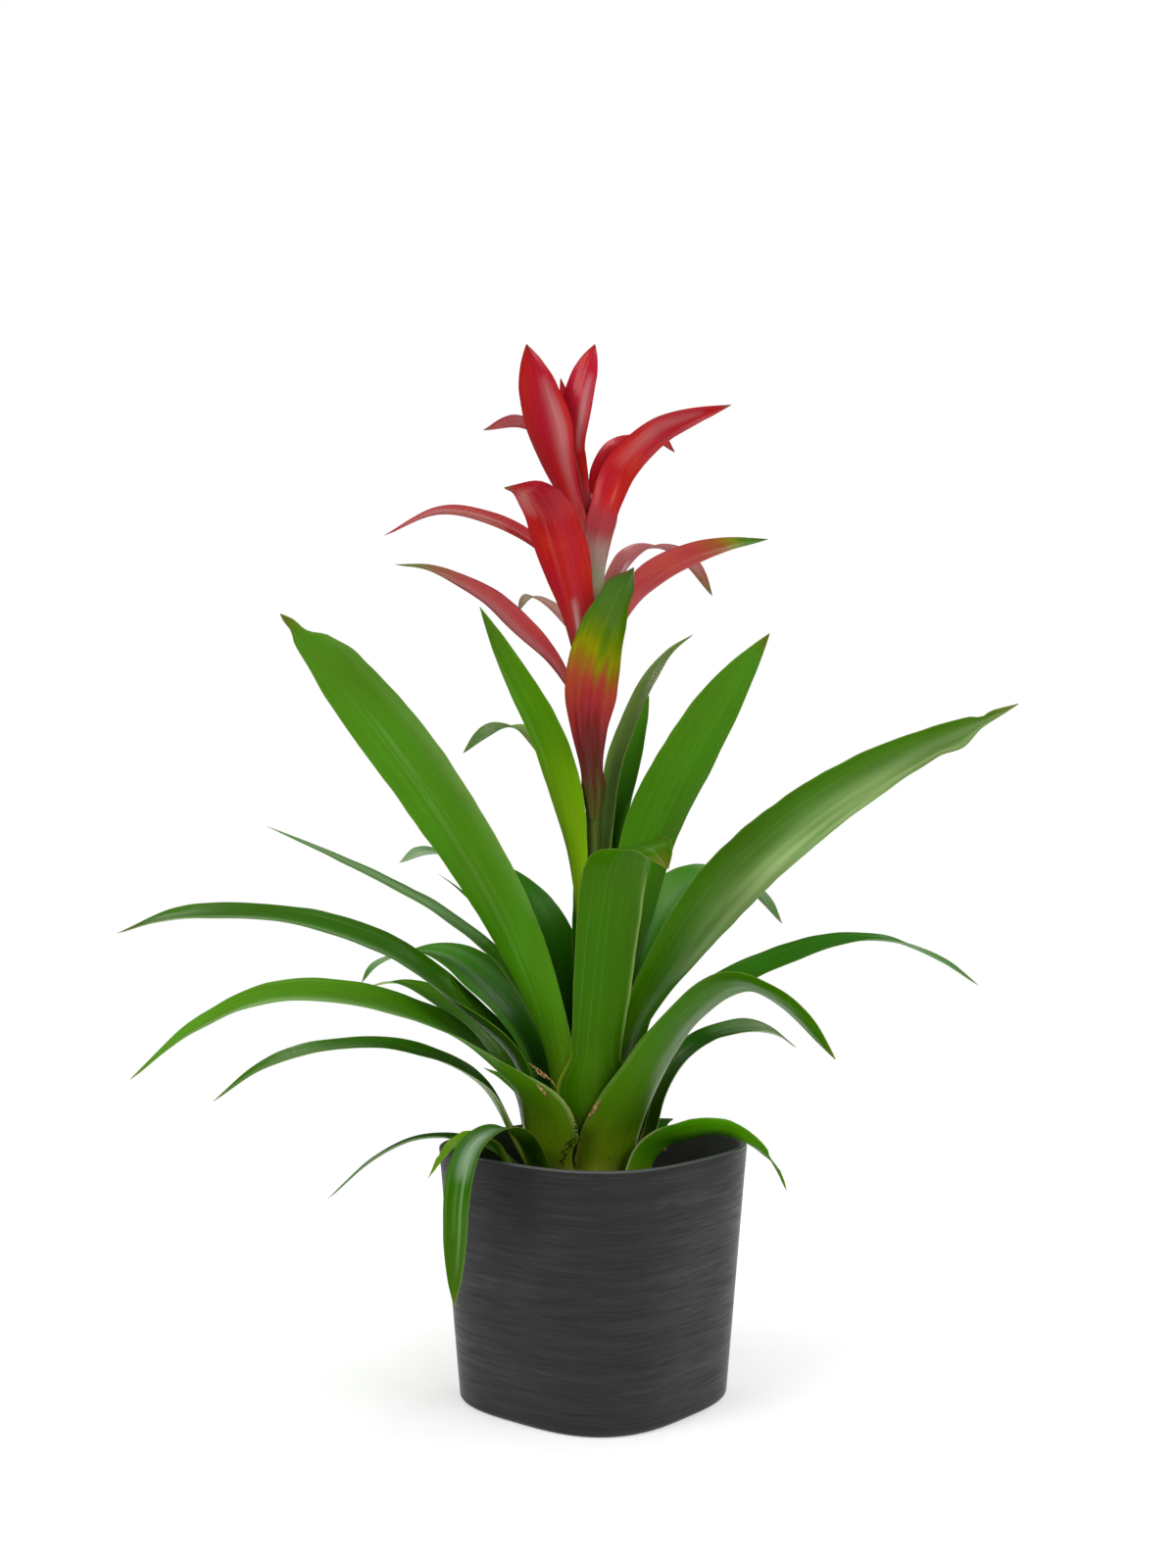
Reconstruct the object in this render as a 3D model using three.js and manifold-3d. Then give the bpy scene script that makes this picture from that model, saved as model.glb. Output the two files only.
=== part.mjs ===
// A potted guzmania: a rosette of strap leaves round a flower stalk with red bracts, in a rounded square pot.
// Millimetres, +Z up. The origin is the middle of the pot's underside, -Y is the front.
// Every blade is drawn as [reach from the plant's axis, height] points along its middle line, with an
// optional third number, in degrees, for how far it has swung round the axis, and is then turned about Z.
import * as THREE from 'three';
import { mergeVertices } from 'three/addons/utils/BufferGeometryUtils.js';
import Module from 'manifold-3d';

const wasm = await Module();
wasm.setup();

const degrees = Math.PI / 180;
const seatGap = 0.3; // left between two pieces that touch

// The pot, square with rounded corners in plan, tapering to its base
const potHeight = 122.7;
const potRimWidth = 134.6; // across the flats
const potBaseWidth = 116;
const potWall = 3;
const potFloor = 4;
const potFootRound = 3;
const potRimRound = 1;
const potSquareness = 3; // exponent of the plan's superellipse
const potTurn = 50.5; // a corner faces the front
const potSides = 48;

// The potting soil, which ends below the rim and has a plain round hole for the crown
const soilTop = 96;
const soilBump = 1.6;
const crownHoleRadius = 32.3;
const crownHoleFloor = 84;

// The stem: a short cone that the leaves sit on, and the flower stalk that rises from it
const crownRadius = 32;
const crownShoulder = 92.5; // height where the cone starts
const crownTopRadius = 7.5;
const crownTop = 118;
const stalkFootRadius = 4;
const stalkFoot = 123;
const stalkTipRadius = 2.4;
const stalkTip = 421;

// The flower buds that stand between the topmost bracts, on a short core
const budCount = 8;
const budLength = 17;
const budRadius = 1.7;
const budTilt = 10; // degrees outwards
const budFootRadius = 1.2;
const budLowFoot = 1.5; // heights of the buds' feet above the core's own, by turns
const budHighFoot = 4;
const budCoreRadius = 2.1;
const budCoreLength = 9;

// The leaves, whose roots step outwards and down the crown from the innermost to the outermost. Each
// sheath leans out a little more than the one inside it, so that they nest.
const firstRootRadius = 8.2;
const rootStep = 0.9;
const sheathLength = 24;
const sheathLean = 4; // degrees, of the innermost
const sheathLeanStep = 1.2;
const bractSheathLength = 13;
const bractSheathLean = 12;
const bractSheathGap = 0.5; // between the stalk and the foot of a bract
const bladeThickness = 0.8;
const bladeFacets = 4; // across a blade
const leafShape = { sheath: 1.15, neck: 0.86, wrap: 68, steps: 14 };
const bractShape = { sheath: 0.7, neck: 0.6, wrap: 80, steps: 12 };

// Share of its full width that a blade has along its length: a sheath, a neck, a belly and a long point
function outline(sheath, neck, belly) {
  const rest = 1 - belly;
  return [[0, sheath], [0.07, 0.96 * sheath], [0.18, neck], [belly / 2 + 0.1, (1 + neck) / 2], [belly, 1],
    [belly + 0.5 * rest, 0.82], [belly + 0.78 * rest, 0.48], [belly + 0.92 * rest, 0.2], [1, 0.04]];
}

const potColour = 0x3a3b3d;
const soilColour = 0x2e2119;
const stemColour = 0x7f9a3a;
const flowerColour = 0xb9a860;
const leafColour = 0x3f7d1c;
const darkLeaf = 0x27611a;
const yellowLeaf = 0x6fae1a;
const bractColour = 0xb51f2a;
const pinkBract = 0xc96a6e;
const greenishBract = 0x9a5a28;
const leafRoughness = 0.5;
const bractRoughness = 0.35;

// From the innermost leaf to the outermost. turn: 0 is the plant's right, 90 its back, 270 its front.
// twist: turn of the blade about its own middle line, in degrees, half way along and at its tip.
// cup: half angle of its arched cross-section. belly: where along the blade it is widest.
// sheath, neck: its width there, as a share of the widest, where that differs from leafShape.
// lean: the sheath's own lean, where it differs from its place in the row. swing: of the root, in degrees.
const leaves = [
  { name: 'leaf_back_upright', turn: 88, width: 24, cup: 26, belly: 0.55, sheath: 0.5, colour: darkLeaf,
    path: [[15, 175], [26, 220], [48, 262], [78, 286], [104, 292]] },
  { name: 'leaf_right_upright', turn: 338, width: 30, cup: 20, twist: [-45, -50], belly: 0.65, sheath: 0.6,
    neck: 0.7,
    path: [[14, 175], [19, 220], [31, 275], [50, 312], [69, 342], [89, 368]] },
  { name: 'leaf_back_left', turn: 128, width: 30, cup: 24, twist: [0, 20], belly: 0.45, sheath: 0.8,
    lean: 9, colour: darkLeaf,
    path: [[17, 170], [26, 203], [49, 235], [89, 256], [127, 264], [157, 265], [180, 259]] },
  { name: 'leaf_right_tall', turn: 334, width: 32, cup: 14, twist: [-50, -30], belly: 0.52,
    path: [[25, 182], [45, 216], [72, 250], [106, 279], [141, 301], [173, 316], [206, 330]] },
  { name: 'leaf_left_wisp', turn: 146, width: 6, cup: 26, belly: 0.4, sheath: 1, neck: 0.9, colour: darkLeaf,
    path: [[24, 180], [36, 201], [55, 224], [74, 239], [87, 248], [98, 254]] },
  { name: 'leaf_left_high', turn: 158, width: 14, cup: 26, twist: [-10, -10], belly: 0.35,
    path: [[26, 173], [47, 207], [75, 229], [102, 244], [143, 262], [187, 279]] },
  { name: 'leaf_back_right', turn: 50, width: 38, cup: 26, twist: [10, 20], belly: 0.5,
    path: [[27, 177], [46, 218], [71, 243], [106, 252], [139, 243], [166, 225]] },
  { name: 'leaf_left_tall', turn: 214, width: 30, cup: 14, twist: [50, 55], belly: 0.72, neck: 0.8,
    path: [[23, 168], [33, 199], [53, 240], [82, 282], [114, 321], [144, 352], [165, 369]] },
  { name: 'leaf_back_arching', turn: 78, width: 30, cup: 24, belly: 0.5, colour: darkLeaf,
    path: [[34, 188], [62, 224], [100, 236], [136, 226], [160, 204]] },
  { name: 'leaf_front_centre', turn: 278, width: 32, cup: 22, twist: [0, 20], belly: 0.77, sheath: 1.25,
    neck: 0.78,
    path: [[26, 167, -5], [33, 187, -3], [50, 230, 0], [61, 251, 1], [70, 262, 2],
      [81, 267, 3], [92, 268, 5], [100, 266.5, 8], [103, 258, 10]] },
  { name: 'leaf_left_back', turn: 150, width: 38, cup: 24, twist: [5, 0], belly: 0.45, colour: darkLeaf,
    path: [[36, 170], [55, 193], [82, 211], [103, 214], [125, 209], [135, 204], [142, 196]] },
  { name: 'leaf_right_long', turn: 20, width: 30, cup: 24, twist: [10, 0], belly: 0.35, sheath: 1,
    colour: darkLeaf,
    path: [[36, 167], [59, 191], [92, 207], [132, 219], [166, 219], [196, 208], [219, 194]] },
  { name: 'leaf_front_right', turn: 328, width: 34, cup: 24, twist: [-8, -55], belly: 0.4, sheath: 1.02,
    neck: 0.93, swing: -37,
    path: [[36, 159, -13], [53, 187], [77, 203], [98, 198], [114, 187], [128, 172]] },
  { name: 'leaf_left_long', turn: 182, width: 34, cup: 22, twist: [-12, -6], belly: 0.4,
    path: [[40, 165], [65, 191], [99, 217], [142, 233], [180, 237], [209, 235], [231, 228]] },
  { name: 'leaf_back_low', turn: 104, width: 28, cup: 24, belly: 0.45, colour: darkLeaf,
    path: [[44, 170], [78, 190], [112, 186], [140, 166]] },
  { name: 'leaf_right_dark', turn: 24, width: 26, cup: 26, twist: [0, 20], belly: 0.4, colour: darkLeaf,
    path: [[36, 145], [48, 162], [65, 172], [84, 175], [102, 172], [115, 164]] },
  { name: 'leaf_front_left', turn: 200, width: 36, cup: 22, twist: [-12, 0], belly: 0.34, sheath: 0.98,
    neck: 1, swing: 13,
    path: [[38, 145, 17], [53, 163, 6], [77, 182], [120, 198], [160, 199], [193, 185], [220, 164]] },
  { name: 'leaf_back_spread', turn: 80, width: 28, cup: 24, belly: 0.45, colour: darkLeaf,
    path: [[52, 152], [86, 166], [118, 160], [142, 142]] },
  { name: 'leaf_left_bright', turn: 152, width: 24, cup: 24, belly: 0.5, colour: yellowLeaf,
    path: [[42, 148], [68, 175], [97, 192], [116, 197], [132, 195]] },
  { name: 'leaf_low_back_right', turn: 50, width: 18, cup: 24, belly: 0.45, lean: 40,
    path: [[52, 126], [64, 127]] },
  { name: 'leaf_left_low', turn: 184, width: 26, cup: 24, belly: 0.35,
    path: [[55, 152], [84, 169], [112, 173], [141, 169], [164, 160], [184, 145]] },
  { name: 'leaf_low_right', turn: 345, width: 20, cup: 20, twist: [-34, -25], belly: 0.45, lean: 20,
    swing: -30,
    path: [[41, 128, -23], [49, 132.5, -14], [58, 134.5, -6], [67, 133], [78, 127.5], [88, 118], [95, 104]] },
  { name: 'leaf_left_tiny', turn: 142, width: 10, cup: 26, belly: 0.45, lean: 34,
    path: [[44, 139], [57, 149], [72, 154]] },
  { name: 'leaf_low_left_thin', turn: 172, width: 14, cup: 24, belly: 0.4, lean: 42,
    path: [[58, 121], [74, 124], [91, 122], [111, 112], [135, 91]] },
  { name: 'leaf_over_rim', turn: 226, width: 18, cup: 20, twist: [0, -10], belly: 0.6, lean: 24,
    path: [[48, 131], [59, 137], [71, 136], [82, 129], [88, 112], [90, 88], [91, 60]] },
  { name: 'leaf_low_left_torn', turn: 205, width: 11, cup: 20, belly: 0.6, lean: 36,
    path: [[54, 127], [64, 130], [74, 126], [81, 119], [86, 112]] },
];

// Leaves and bracts of the flower stalk, from the lowest to the highest, each with the height of its root
const stalkBlades = [
  { name: 'stalk_leaf_left', turn: 203, root: 205, width: 18, cup: 26, twist: [50, 55], belly: 0.5,
    colour: yellowLeaf,
    path: [[8.5, 240], [11, 272], [19.5, 308], [28, 328], [42, 352], [59, 382]] },
  { name: 'stalk_leaf_back', turn: 50, root: 216, width: 18, cup: 30, twist: [30, 30], belly: 0.5,
    colour: darkLeaf,
    path: [[10, 252], [14, 284], [22, 304], [32, 324], [44, 345]] },
  { name: 'stalk_leaf_right', turn: 38, root: 234, width: 15, cup: 46, belly: 0.5, colour: darkLeaf,
    path: [[10, 275], [14, 306], [21, 324], [35, 350], [50, 367], [65, 377]] },
  { name: 'stalk_leaf_back_left', turn: 140, root: 250, width: 23, cup: 30, belly: 0.5, colour: darkLeaf,
    path: [[13, 280], [24, 307], [44, 326], [66, 329], [89, 317]] },
  { name: 'bract_front_low', turn: 272, root: 281, width: 27, cup: 34, wrap: 56, belly: 0.5, neck: 0.42,
    colour: greenishBract,
    path: [[10, 304, -8], [17, 325, -11], [22, 347, -5], [27, 371, 8], [35, 388, 18], [44, 398, 23]] },
  { name: 'bract_left_low', turn: 198, root: 322, width: 18, cup: 30, twist: [20, 0], belly: 0.45,
    path: [[15, 349], [23, 360], [37, 373], [52, 386], [67, 394], [83, 400], [99, 401]] },
  { name: 'bract_front_high', turn: 228, root: 336, width: 31, cup: 30, twist: [10, 10], belly: 0.6,
    neck: 0.5,
    path: [[11, 366], [15, 382], [21, 397], [28, 413], [35, 427], [46, 435], [62, 434]] },
  { name: 'bract_right_low', turn: 330, root: 345, width: 16, cup: 28, twist: [-30, -20], belly: 0.5,
    path: [[18, 384], [31, 397], [50, 405], [70, 409], [93, 410]] },
  { name: 'bract_back_left', turn: 142, root: 352, width: 15, cup: 30, belly: 0.5, colour: pinkBract,
    path: [[20, 382], [32, 391], [42, 394], [49, 387]] },
  { name: 'bract_back_right', turn: 30, root: 364, width: 21, cup: 30, twist: [10, 0], belly: 0.5,
    colour: pinkBract,
    path: [[15, 403], [28, 416], [45, 417], [58, 410], [70, 396]] },
  { name: 'bract_left_middle', turn: 187, root: 373, width: 18, cup: 28, twist: [10, 0], belly: 0.45,
    path: [[15, 397], [28, 414], [50, 426], [75, 430], [102, 418]] },
  { name: 'bract_right_high', turn: 326, root: 384, width: 17, cup: 28, twist: [-35, -25], belly: 0.5,
    neck: 0.76, swing: -56,
    path: [[9, 412, -52], [13.5, 430, -36], [19, 449, -14], [36, 465], [55, 470], [77, 473]] },
  { name: 'bract_back_high', turn: 82, root: 389, width: 18, cup: 30, belly: 0.5, sheath: 0.4,
    colour: pinkBract,
    path: [[14, 418], [28, 436], [46, 442], [62, 434]] },
  { name: 'bract_right_arching', turn: 36, root: 395, width: 22, cup: 30, belly: 0.5, sheath: 0.4,
    neck: 0.45,
    path: [[10, 440, 10], [12.5, 455, 10], [18, 468, 4], [27, 474], [39, 474], [51, 468]] },
  { name: 'bract_left_small', turn: 156, root: 400, width: 17, cup: 30, twist: [25, 20], belly: 0.5,
    sheath: 0.5, colour: pinkBract,
    path: [[15.5, 430], [20.5, 455], [29, 472], [42, 480], [61, 478]] },
  { name: 'bract_top_left', turn: 212, root: 406, width: 31, cup: 34, twist: [10, 15], belly: 0.62,
    sheath: 0.25, neck: 0.38,
    path: [[15, 437], [22, 452], [29, 472], [35, 492], [38, 508]] },
  { name: 'bract_top_back', turn: 136, root: 411, width: 12, cup: 34, belly: 0.6, sheath: 0.3,
    path: [[9, 448], [16, 476], [23, 502]] },
  { name: 'bract_top_right', turn: 262, root: 416, width: 17, cup: 34, belly: 0.66, neck: 0.5, swing: -30,
    path: [[10, 442, -32], [16, 464, -33], [20, 484, -16], [17, 509, 10]] },
];

// A value read from a table of [place, value] points through a smooth curve
function along(table, place) {
  let i = 0;
  while (i < table.length - 2 && place > table[i + 1][0]) i += 1;
  const slope = (k) => {
    const before = table[Math.max(k - 1, 0)];
    const after = table[Math.min(k + 1, table.length - 1)];
    return (after[1] - before[1]) / (after[0] - before[0]);
  };
  const [x0, y0] = table[i];
  const [x1, y1] = table[i + 1];
  const step = x1 - x0;
  const t = (place - x0) / step;
  return y0 * (1 + 2 * t) * (1 - t) ** 2 + slope(i) * step * t * (1 - t) ** 2
    + y1 * t * t * (3 - 2 * t) + slope(i + 1) * step * t * t * (t - 1);
}

// A closed geometry from faces of three or four corner numbers
function fromFaces(points, faces) {
  const index = [];
  for (const [a, b, c, d] of faces) {
    index.push(a, b, c);
    if (d !== undefined) index.push(a, c, d);
  }
  const geometry = new THREE.BufferGeometry();
  geometry.setAttribute('position', new THREE.Float32BufferAttribute(points.flat(), 3));
  geometry.setIndex(index);
  geometry.computeVertexNormals();
  return geometry;
}

// A closed body skinned over rings of points, each ring counter-clockwise from above, with a fan on both ends
function fromRings(rings, firstMiddle, lastMiddle) {
  const count = rings[0].length;
  const points = [...rings.flat(), firstMiddle, lastMiddle];
  const first = points.length - 2;
  const last = points.length - 1;
  const faces = [];
  for (let j = 0; j < count; j += 1) {
    const k = (j + 1) % count;
    faces.push([first, k, j]);
    for (let i = 0; i < rings.length - 1; i += 1) {
      faces.push([i * count + j, i * count + k, (i + 1) * count + k, (i + 1) * count + j]);
    }
    const top = (rings.length - 1) * count;
    faces.push([last, top + j, top + k]);
  }
  return fromFaces(points, faces);
}

// One level ring of the pot's plan, at a half width and a height
function squareRing(half, height) {
  return Array.from({ length: potSides }, (_, j) => {
    const angle = (2 * Math.PI * j) / potSides;
    const round = Math.abs(Math.cos(angle)) ** potSquareness + Math.abs(Math.sin(angle)) ** potSquareness;
    const radius = half / round ** (1 / potSquareness);
    const heading = angle + potTurn * degrees;
    return [radius * Math.cos(heading), radius * Math.sin(heading), height];
  });
}

function roundRing(radius, height) {
  return Array.from({ length: potSides }, (_, j) => {
    const angle = (2 * Math.PI * j) / potSides + potTurn * degrees;
    return [radius * Math.cos(angle), radius * Math.sin(angle), height];
  });
}

// Half the pot's outer width at a height
const potHalf = (height) => potBaseWidth / 2 + ((potRimWidth - potBaseWidth) / 2) * (height / potHeight);

function potGeometry() {
  const rings = [];
  for (const turn of [0, 30, 60, 90]) {
    const height = potFootRound * (1 - Math.cos(turn * degrees));
    rings.push(squareRing(potHalf(height) - potFootRound * (1 - Math.sin(turn * degrees)), height));
  }
  rings.push(squareRing(potHalf(potHeight / 2), potHeight / 2));
  for (const turn of [0, 45, 90]) {
    const height = potHeight - potRimRound * (1 - Math.sin(turn * degrees));
    rings.push(squareRing(potHalf(height) - potRimRound * (1 - Math.cos(turn * degrees)), height));
  }
  for (const turn of [90, 45, 0]) {
    const height = potHeight - potRimRound * (1 - Math.sin(turn * degrees));
    rings.push(squareRing(potHalf(height) - potWall + potRimRound * (1 - Math.cos(turn * degrees)), height));
  }
  rings.push(squareRing(potHalf(potFloor) - potWall, potFloor));
  return fromRings(rings, [0, 0, 0], [0, 0, potFloor]);
}

function soilGeometry() {
  const inside = (height) => potHalf(height) - potWall - seatGap;
  const bumpy = (ring) => ring.map(([x, y, z]) => [x, y, z + soilBump * Math.sin(x / 7) * Math.cos(y / 6)]);
  const mixed = (share) => {
    const round = roundRing(crownHoleRadius, soilTop);
    const square = squareRing(inside(soilTop), soilTop);
    return round.map((p, j) => p.map((v, k) => v + (square[j][k] - v) * share));
  };
  const rings = [
    squareRing(inside(potFloor + seatGap), potFloor + seatGap),
    squareRing(inside(soilTop), soilTop),
    bumpy(mixed(0.7)),
    bumpy(mixed(0.35)),
    roundRing(crownHoleRadius, soilTop),
    roundRing(crownHoleRadius, crownHoleFloor),
  ];
  return fromRings(rings, [0, 0, potFloor + seatGap], [0, 0, crownHoleFloor]);
}

// A solid from a geometry whose corners are merged, and a geometry from a solid
function toSolid(geometry) {
  const bare = new THREE.BufferGeometry().setAttribute('position', geometry.getAttribute('position'));
  bare.setIndex(geometry.getIndex());
  const merged = mergeVertices(bare, 1e-4);
  const vertProperties = merged.getAttribute('position').array;
  return new wasm.Manifold(new wasm.Mesh({ numProp: 3, vertProperties, triVerts: merged.getIndex().array }));
}

function toGeometry(solid) {
  const { vertProperties, triVerts } = solid.getMesh();
  const geometry = new THREE.BufferGeometry();
  geometry.setAttribute('position', new THREE.BufferAttribute(vertProperties, 3));
  geometry.setIndex(new THREE.BufferAttribute(triVerts, 1));
  geometry.computeVertexNormals();
  return geometry;
}

// A body turned round Z from [radius, height] points that start and end on the axis
function turned(profile, sides) {
  const geometry = new THREE.LatheGeometry(profile.map(([r, z]) => new THREE.Vector2(r, z)), sides);
  return geometry.rotateX(Math.PI / 2);
}

// The core with its buds: one upright in the middle and the rest round it
function flowerGeometry() {
  const side = [[budCoreRadius, 0], [budCoreRadius, budCoreLength]];
  const core = turned([[0, 0], ...side, [0, budCoreLength + 1]], 10);
  const shape = [[0, 0], [0.6, 0.08], [1, 0.45], [0.85, 0.75], [0.4, 0.95], [0, 1]];
  const bud = turned(shape.map(([r, z]) => [r * budRadius, z * budLength]), 7);
  let solid = toSolid(core).add(toSolid(bud.clone().translate(0, 0, budCoreLength / 2)));
  for (let i = 0; i < budCount - 1; i += 1) {
    const heading = (2 * Math.PI * i) / (budCount - 1);
    const foot = i % 2 ? budHighFoot : budLowFoot;
    const leaning = bud.clone().rotateY(budTilt * degrees).translate(budFootRadius, 0, foot).rotateZ(heading);
    solid = solid.add(toSolid(leaning));
  }
  return toGeometry(solid).translate(0, 0, stalkTip + seatGap);
}

function stemGeometry() {
  const foot = crownHoleFloor + seatGap;
  const profile = [[0, foot], [crownRadius, foot], [crownRadius, crownShoulder], [crownTopRadius, crownTop],
    [stalkFootRadius, stalkFoot], [(stalkFootRadius + stalkTipRadius) / 2, (stalkFoot + stalkTip) / 2],
    [stalkTipRadius, stalkTip - stalkTipRadius], [0, stalkTip]];
  return turned(profile, 24);
}

// Radius of the stalk at a height
function stalkRadius(height) {
  const share = (height - stalkFoot) / (stalkTip - stalkTipRadius - stalkFoot);
  return stalkFootRadius + (stalkTipRadius - stalkFootRadius) * share;
}

// A blade: a thin slab whose cross-section is an arc. By its root the arc is centred on the plant's axis, so
// that the sheath hugs the stem, and further out it opens to the blade's own shallow cup.
function bladeGeometry({ path, width, cup, twist = [0, 0], sheath, neck, belly, wrap, steps }) {
  const across = bladeFacets;
  const widths = outline(sheath, neck, belly);
  const twists = [[0, 0], [0.14, 0], [0.5, twist[0]], [1, twist[1]]];
  const middle = new THREE.CatmullRomCurve3(path.map(([reach, height, swing = 0]) => new THREE.Vector3(
    reach * Math.cos(swing * degrees), reach * Math.sin(swing * degrees), height)));
  const points = [];
  for (let i = 0; i <= steps; i += 1) {
    const s = i / steps;
    const centre = middle.getPointAt(s);
    const tangent = middle.getTangentAt(s);
    const reach = Math.hypot(centre.x, centre.y);
    const around = new THREE.Vector3(-centre.y / reach, centre.x / reach, 0);
    const lateral = around.addScaledVector(tangent, -around.dot(tangent)).normalize();
    const inward = tangent.clone().cross(lateral);
    const bend = along(twists, s) * degrees;
    const b = lateral.clone().multiplyScalar(Math.cos(bend)).addScaledVector(inward, Math.sin(bend));
    const n = inward.clone().multiplyScalar(Math.cos(bend)).addScaledVector(lateral, -Math.sin(bend));
    const half = Math.min((width / 2) * along(widths, s), wrap * degrees * reach);
    const spread = Math.max(cup * degrees * (1 - s / 2), half / reach);
    const radius = half / spread;
    for (const face of [1, -1]) {
      for (let j = 0; j <= across; j += 1) {
        const angle = spread * ((2 * j) / across - 1);
        const outwards = radius - (face * bladeThickness) / 2;
        const point = centre.clone()
          .addScaledVector(b, outwards * Math.sin(angle))
          .addScaledVector(n, radius - outwards * Math.cos(angle));
        points.push(point.toArray());
      }
    }
  }
  const row = 2 * (across + 1);
  const corner = (i, face, j) => i * row + face * (across + 1) + j;
  const faces = [];
  for (let i = 0; i < steps; i += 1) {
    for (let j = 0; j < across; j += 1) {
      faces.push([corner(i, 0, j), corner(i + 1, 0, j), corner(i + 1, 0, j + 1), corner(i, 0, j + 1)]);
      faces.push([corner(i + 1, 1, j + 1), corner(i + 1, 1, j), corner(i, 1, j), corner(i, 1, j + 1)]);
    }
    faces.push([corner(i, 1, 0), corner(i + 1, 1, 0), corner(i + 1, 0, 0), corner(i, 0, 0)]);
    const [low, high] = [i, i + 1].map((k) => [corner(k, 0, across), corner(k, 1, across)]);
    faces.push([low[0], high[0], high[1], low[1]]);
  }
  for (let j = 0; j < across; j += 1) {
    faces.push([corner(0, 0, j), corner(0, 0, j + 1), corner(0, 1, j + 1), corner(0, 1, j)]);
    faces.push([corner(steps, 0, j + 1), corner(steps, 0, j), corner(steps, 1, j), corner(steps, 1, j + 1)]);
  }
  return fromFaces(points, faces);
}

// A plain finish; roughness runs from 0, glossy, to 1, dull
const finish = (color, roughness) => new THREE.MeshStandardMaterial({ color, roughness, metalness: 0 });

const plant = new THREE.Group();

function add(name, geometry, material, turn = 0) {
  const mesh = new THREE.Mesh(geometry, material);
  mesh.name = name;
  mesh.rotation.z = turn * degrees;
  plant.add(mesh);
}

add('pot', potGeometry(), finish(potColour, 0.55));
add('potting_soil', soilGeometry(), finish(soilColour, 0.95));
add('stem', stemGeometry(), finish(stemColour, 0.6));
add('flower_cluster', flowerGeometry(), finish(flowerColour, 0.5));

// The two points that a blade's sheath runs between, from its root
function sheathPoints(reach, height, length, lean, swing = 0) {
  const top = [reach + length * Math.sin(lean * degrees), height + length * Math.cos(lean * degrees), swing];
  return [[reach, height, swing], top];
}

// A blade in its place, from where its sheath's foot stands
function addBlade(blade, reach, height, length, lean, style, material) {
  const sheath = sheathPoints(reach, height, length, lean, blade.swing);
  const geometry = bladeGeometry({ ...style, ...blade, path: [...sheath, ...blade.path] });
  add(blade.name, geometry, material, blade.turn);
}

leaves.forEach((leaf, order) => {
  const reach = firstRootRadius + rootStep * order;
  const slope = (crownTop - crownShoulder) / (crownRadius - crownTopRadius);
  const height = crownTop - (reach - crownTopRadius) * slope + seatGap + bladeThickness;
  const lean = leaf.lean ?? sheathLean + sheathLeanStep * order;
  const material = finish(leaf.colour ?? leafColour, leafRoughness);
  addBlade(leaf, reach, height, sheathLength, lean, leafShape, material);
});

stalkBlades.forEach((blade) => {
  const reach = stalkRadius(blade.root) + bladeThickness / 2 + bractSheathGap;
  const material = finish(blade.colour ?? bractColour, bractRoughness);
  addBlade(blade, reach, blade.root, bractSheathLength, bractSheathLean, bractShape, material);
});

export default plant;
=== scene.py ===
# A potted guzmania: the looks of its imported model.
# The tables are in millimetres and degrees, with the names and values of the part's own source. A few blades
# are refined here.
import math
import bmesh
import bpy
from mathutils import Matrix, Vector, noise


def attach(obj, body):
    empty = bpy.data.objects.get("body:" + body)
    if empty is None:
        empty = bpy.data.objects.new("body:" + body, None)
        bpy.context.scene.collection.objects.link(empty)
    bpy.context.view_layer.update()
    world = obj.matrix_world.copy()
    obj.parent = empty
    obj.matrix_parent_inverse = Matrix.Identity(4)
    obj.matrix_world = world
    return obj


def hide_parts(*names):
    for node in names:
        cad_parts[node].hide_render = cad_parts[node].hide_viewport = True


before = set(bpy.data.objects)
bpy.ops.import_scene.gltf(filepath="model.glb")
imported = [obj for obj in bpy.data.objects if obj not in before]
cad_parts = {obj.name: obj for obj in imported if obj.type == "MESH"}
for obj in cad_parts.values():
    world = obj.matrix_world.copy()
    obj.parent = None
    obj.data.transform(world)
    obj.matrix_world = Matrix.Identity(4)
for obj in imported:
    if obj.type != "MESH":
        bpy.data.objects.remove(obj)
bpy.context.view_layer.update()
mm = 0.001
made = {}
print("frame loaded")


# Sets a node's inputs, by name or in their order, each to a value or to what it links from
def setInputs(tree, node, inputs):
    for key, value in inputs.items() if isinstance(inputs, dict) else enumerate(inputs):
        if isinstance(value, bpy.types.Node):
            value = value.outputs[0]
        if isinstance(value, bpy.types.NodeSocket):
            tree.links.new(value, node.inputs[key])
        else:
            node.inputs[key].default_value = value


# Adds a node to a tree, with its inputs, and its settings by name
def addNode(tree, kind, inputs=(), **settings):
    node = tree.nodes.new(kind)
    for key, value in settings.items():
        setattr(node, key, value)
    setInputs(tree, node, inputs)
    return node


# An sRGB colour such as "3e6e0e" as linear numbers
def hexColour(text):
    parts = [int(text[i:i + 2], 16) / 255 for i in (0, 2, 4)]
    return [p / 12.92 if p <= 0.04045 else ((p + 0.055) / 1.055) ** 2.4 for p in parts] + [1.0]


def blend(first, second, share):
    return [a + (b - a) * share for a, b in zip(first, second)]


def newMaterial(name):
    material = bpy.data.materials.new(name)
    material.use_nodes = True
    return material, material.node_tree, material.node_tree.nodes["Principled BSDF"]


# A mesh object from points in metres and faces
def pieceFromFaces(name, points, faces, material):
    mesh = bpy.data.meshes.new(name)
    mesh.from_pydata(points, [], faces)
    mesh.polygons.foreach_set("use_smooth", [True] * len(mesh.polygons))
    mesh.materials.append(material)
    piece = bpy.data.objects.new(name, mesh)
    bpy.context.scene.collection.objects.link(piece)
    return piece


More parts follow.
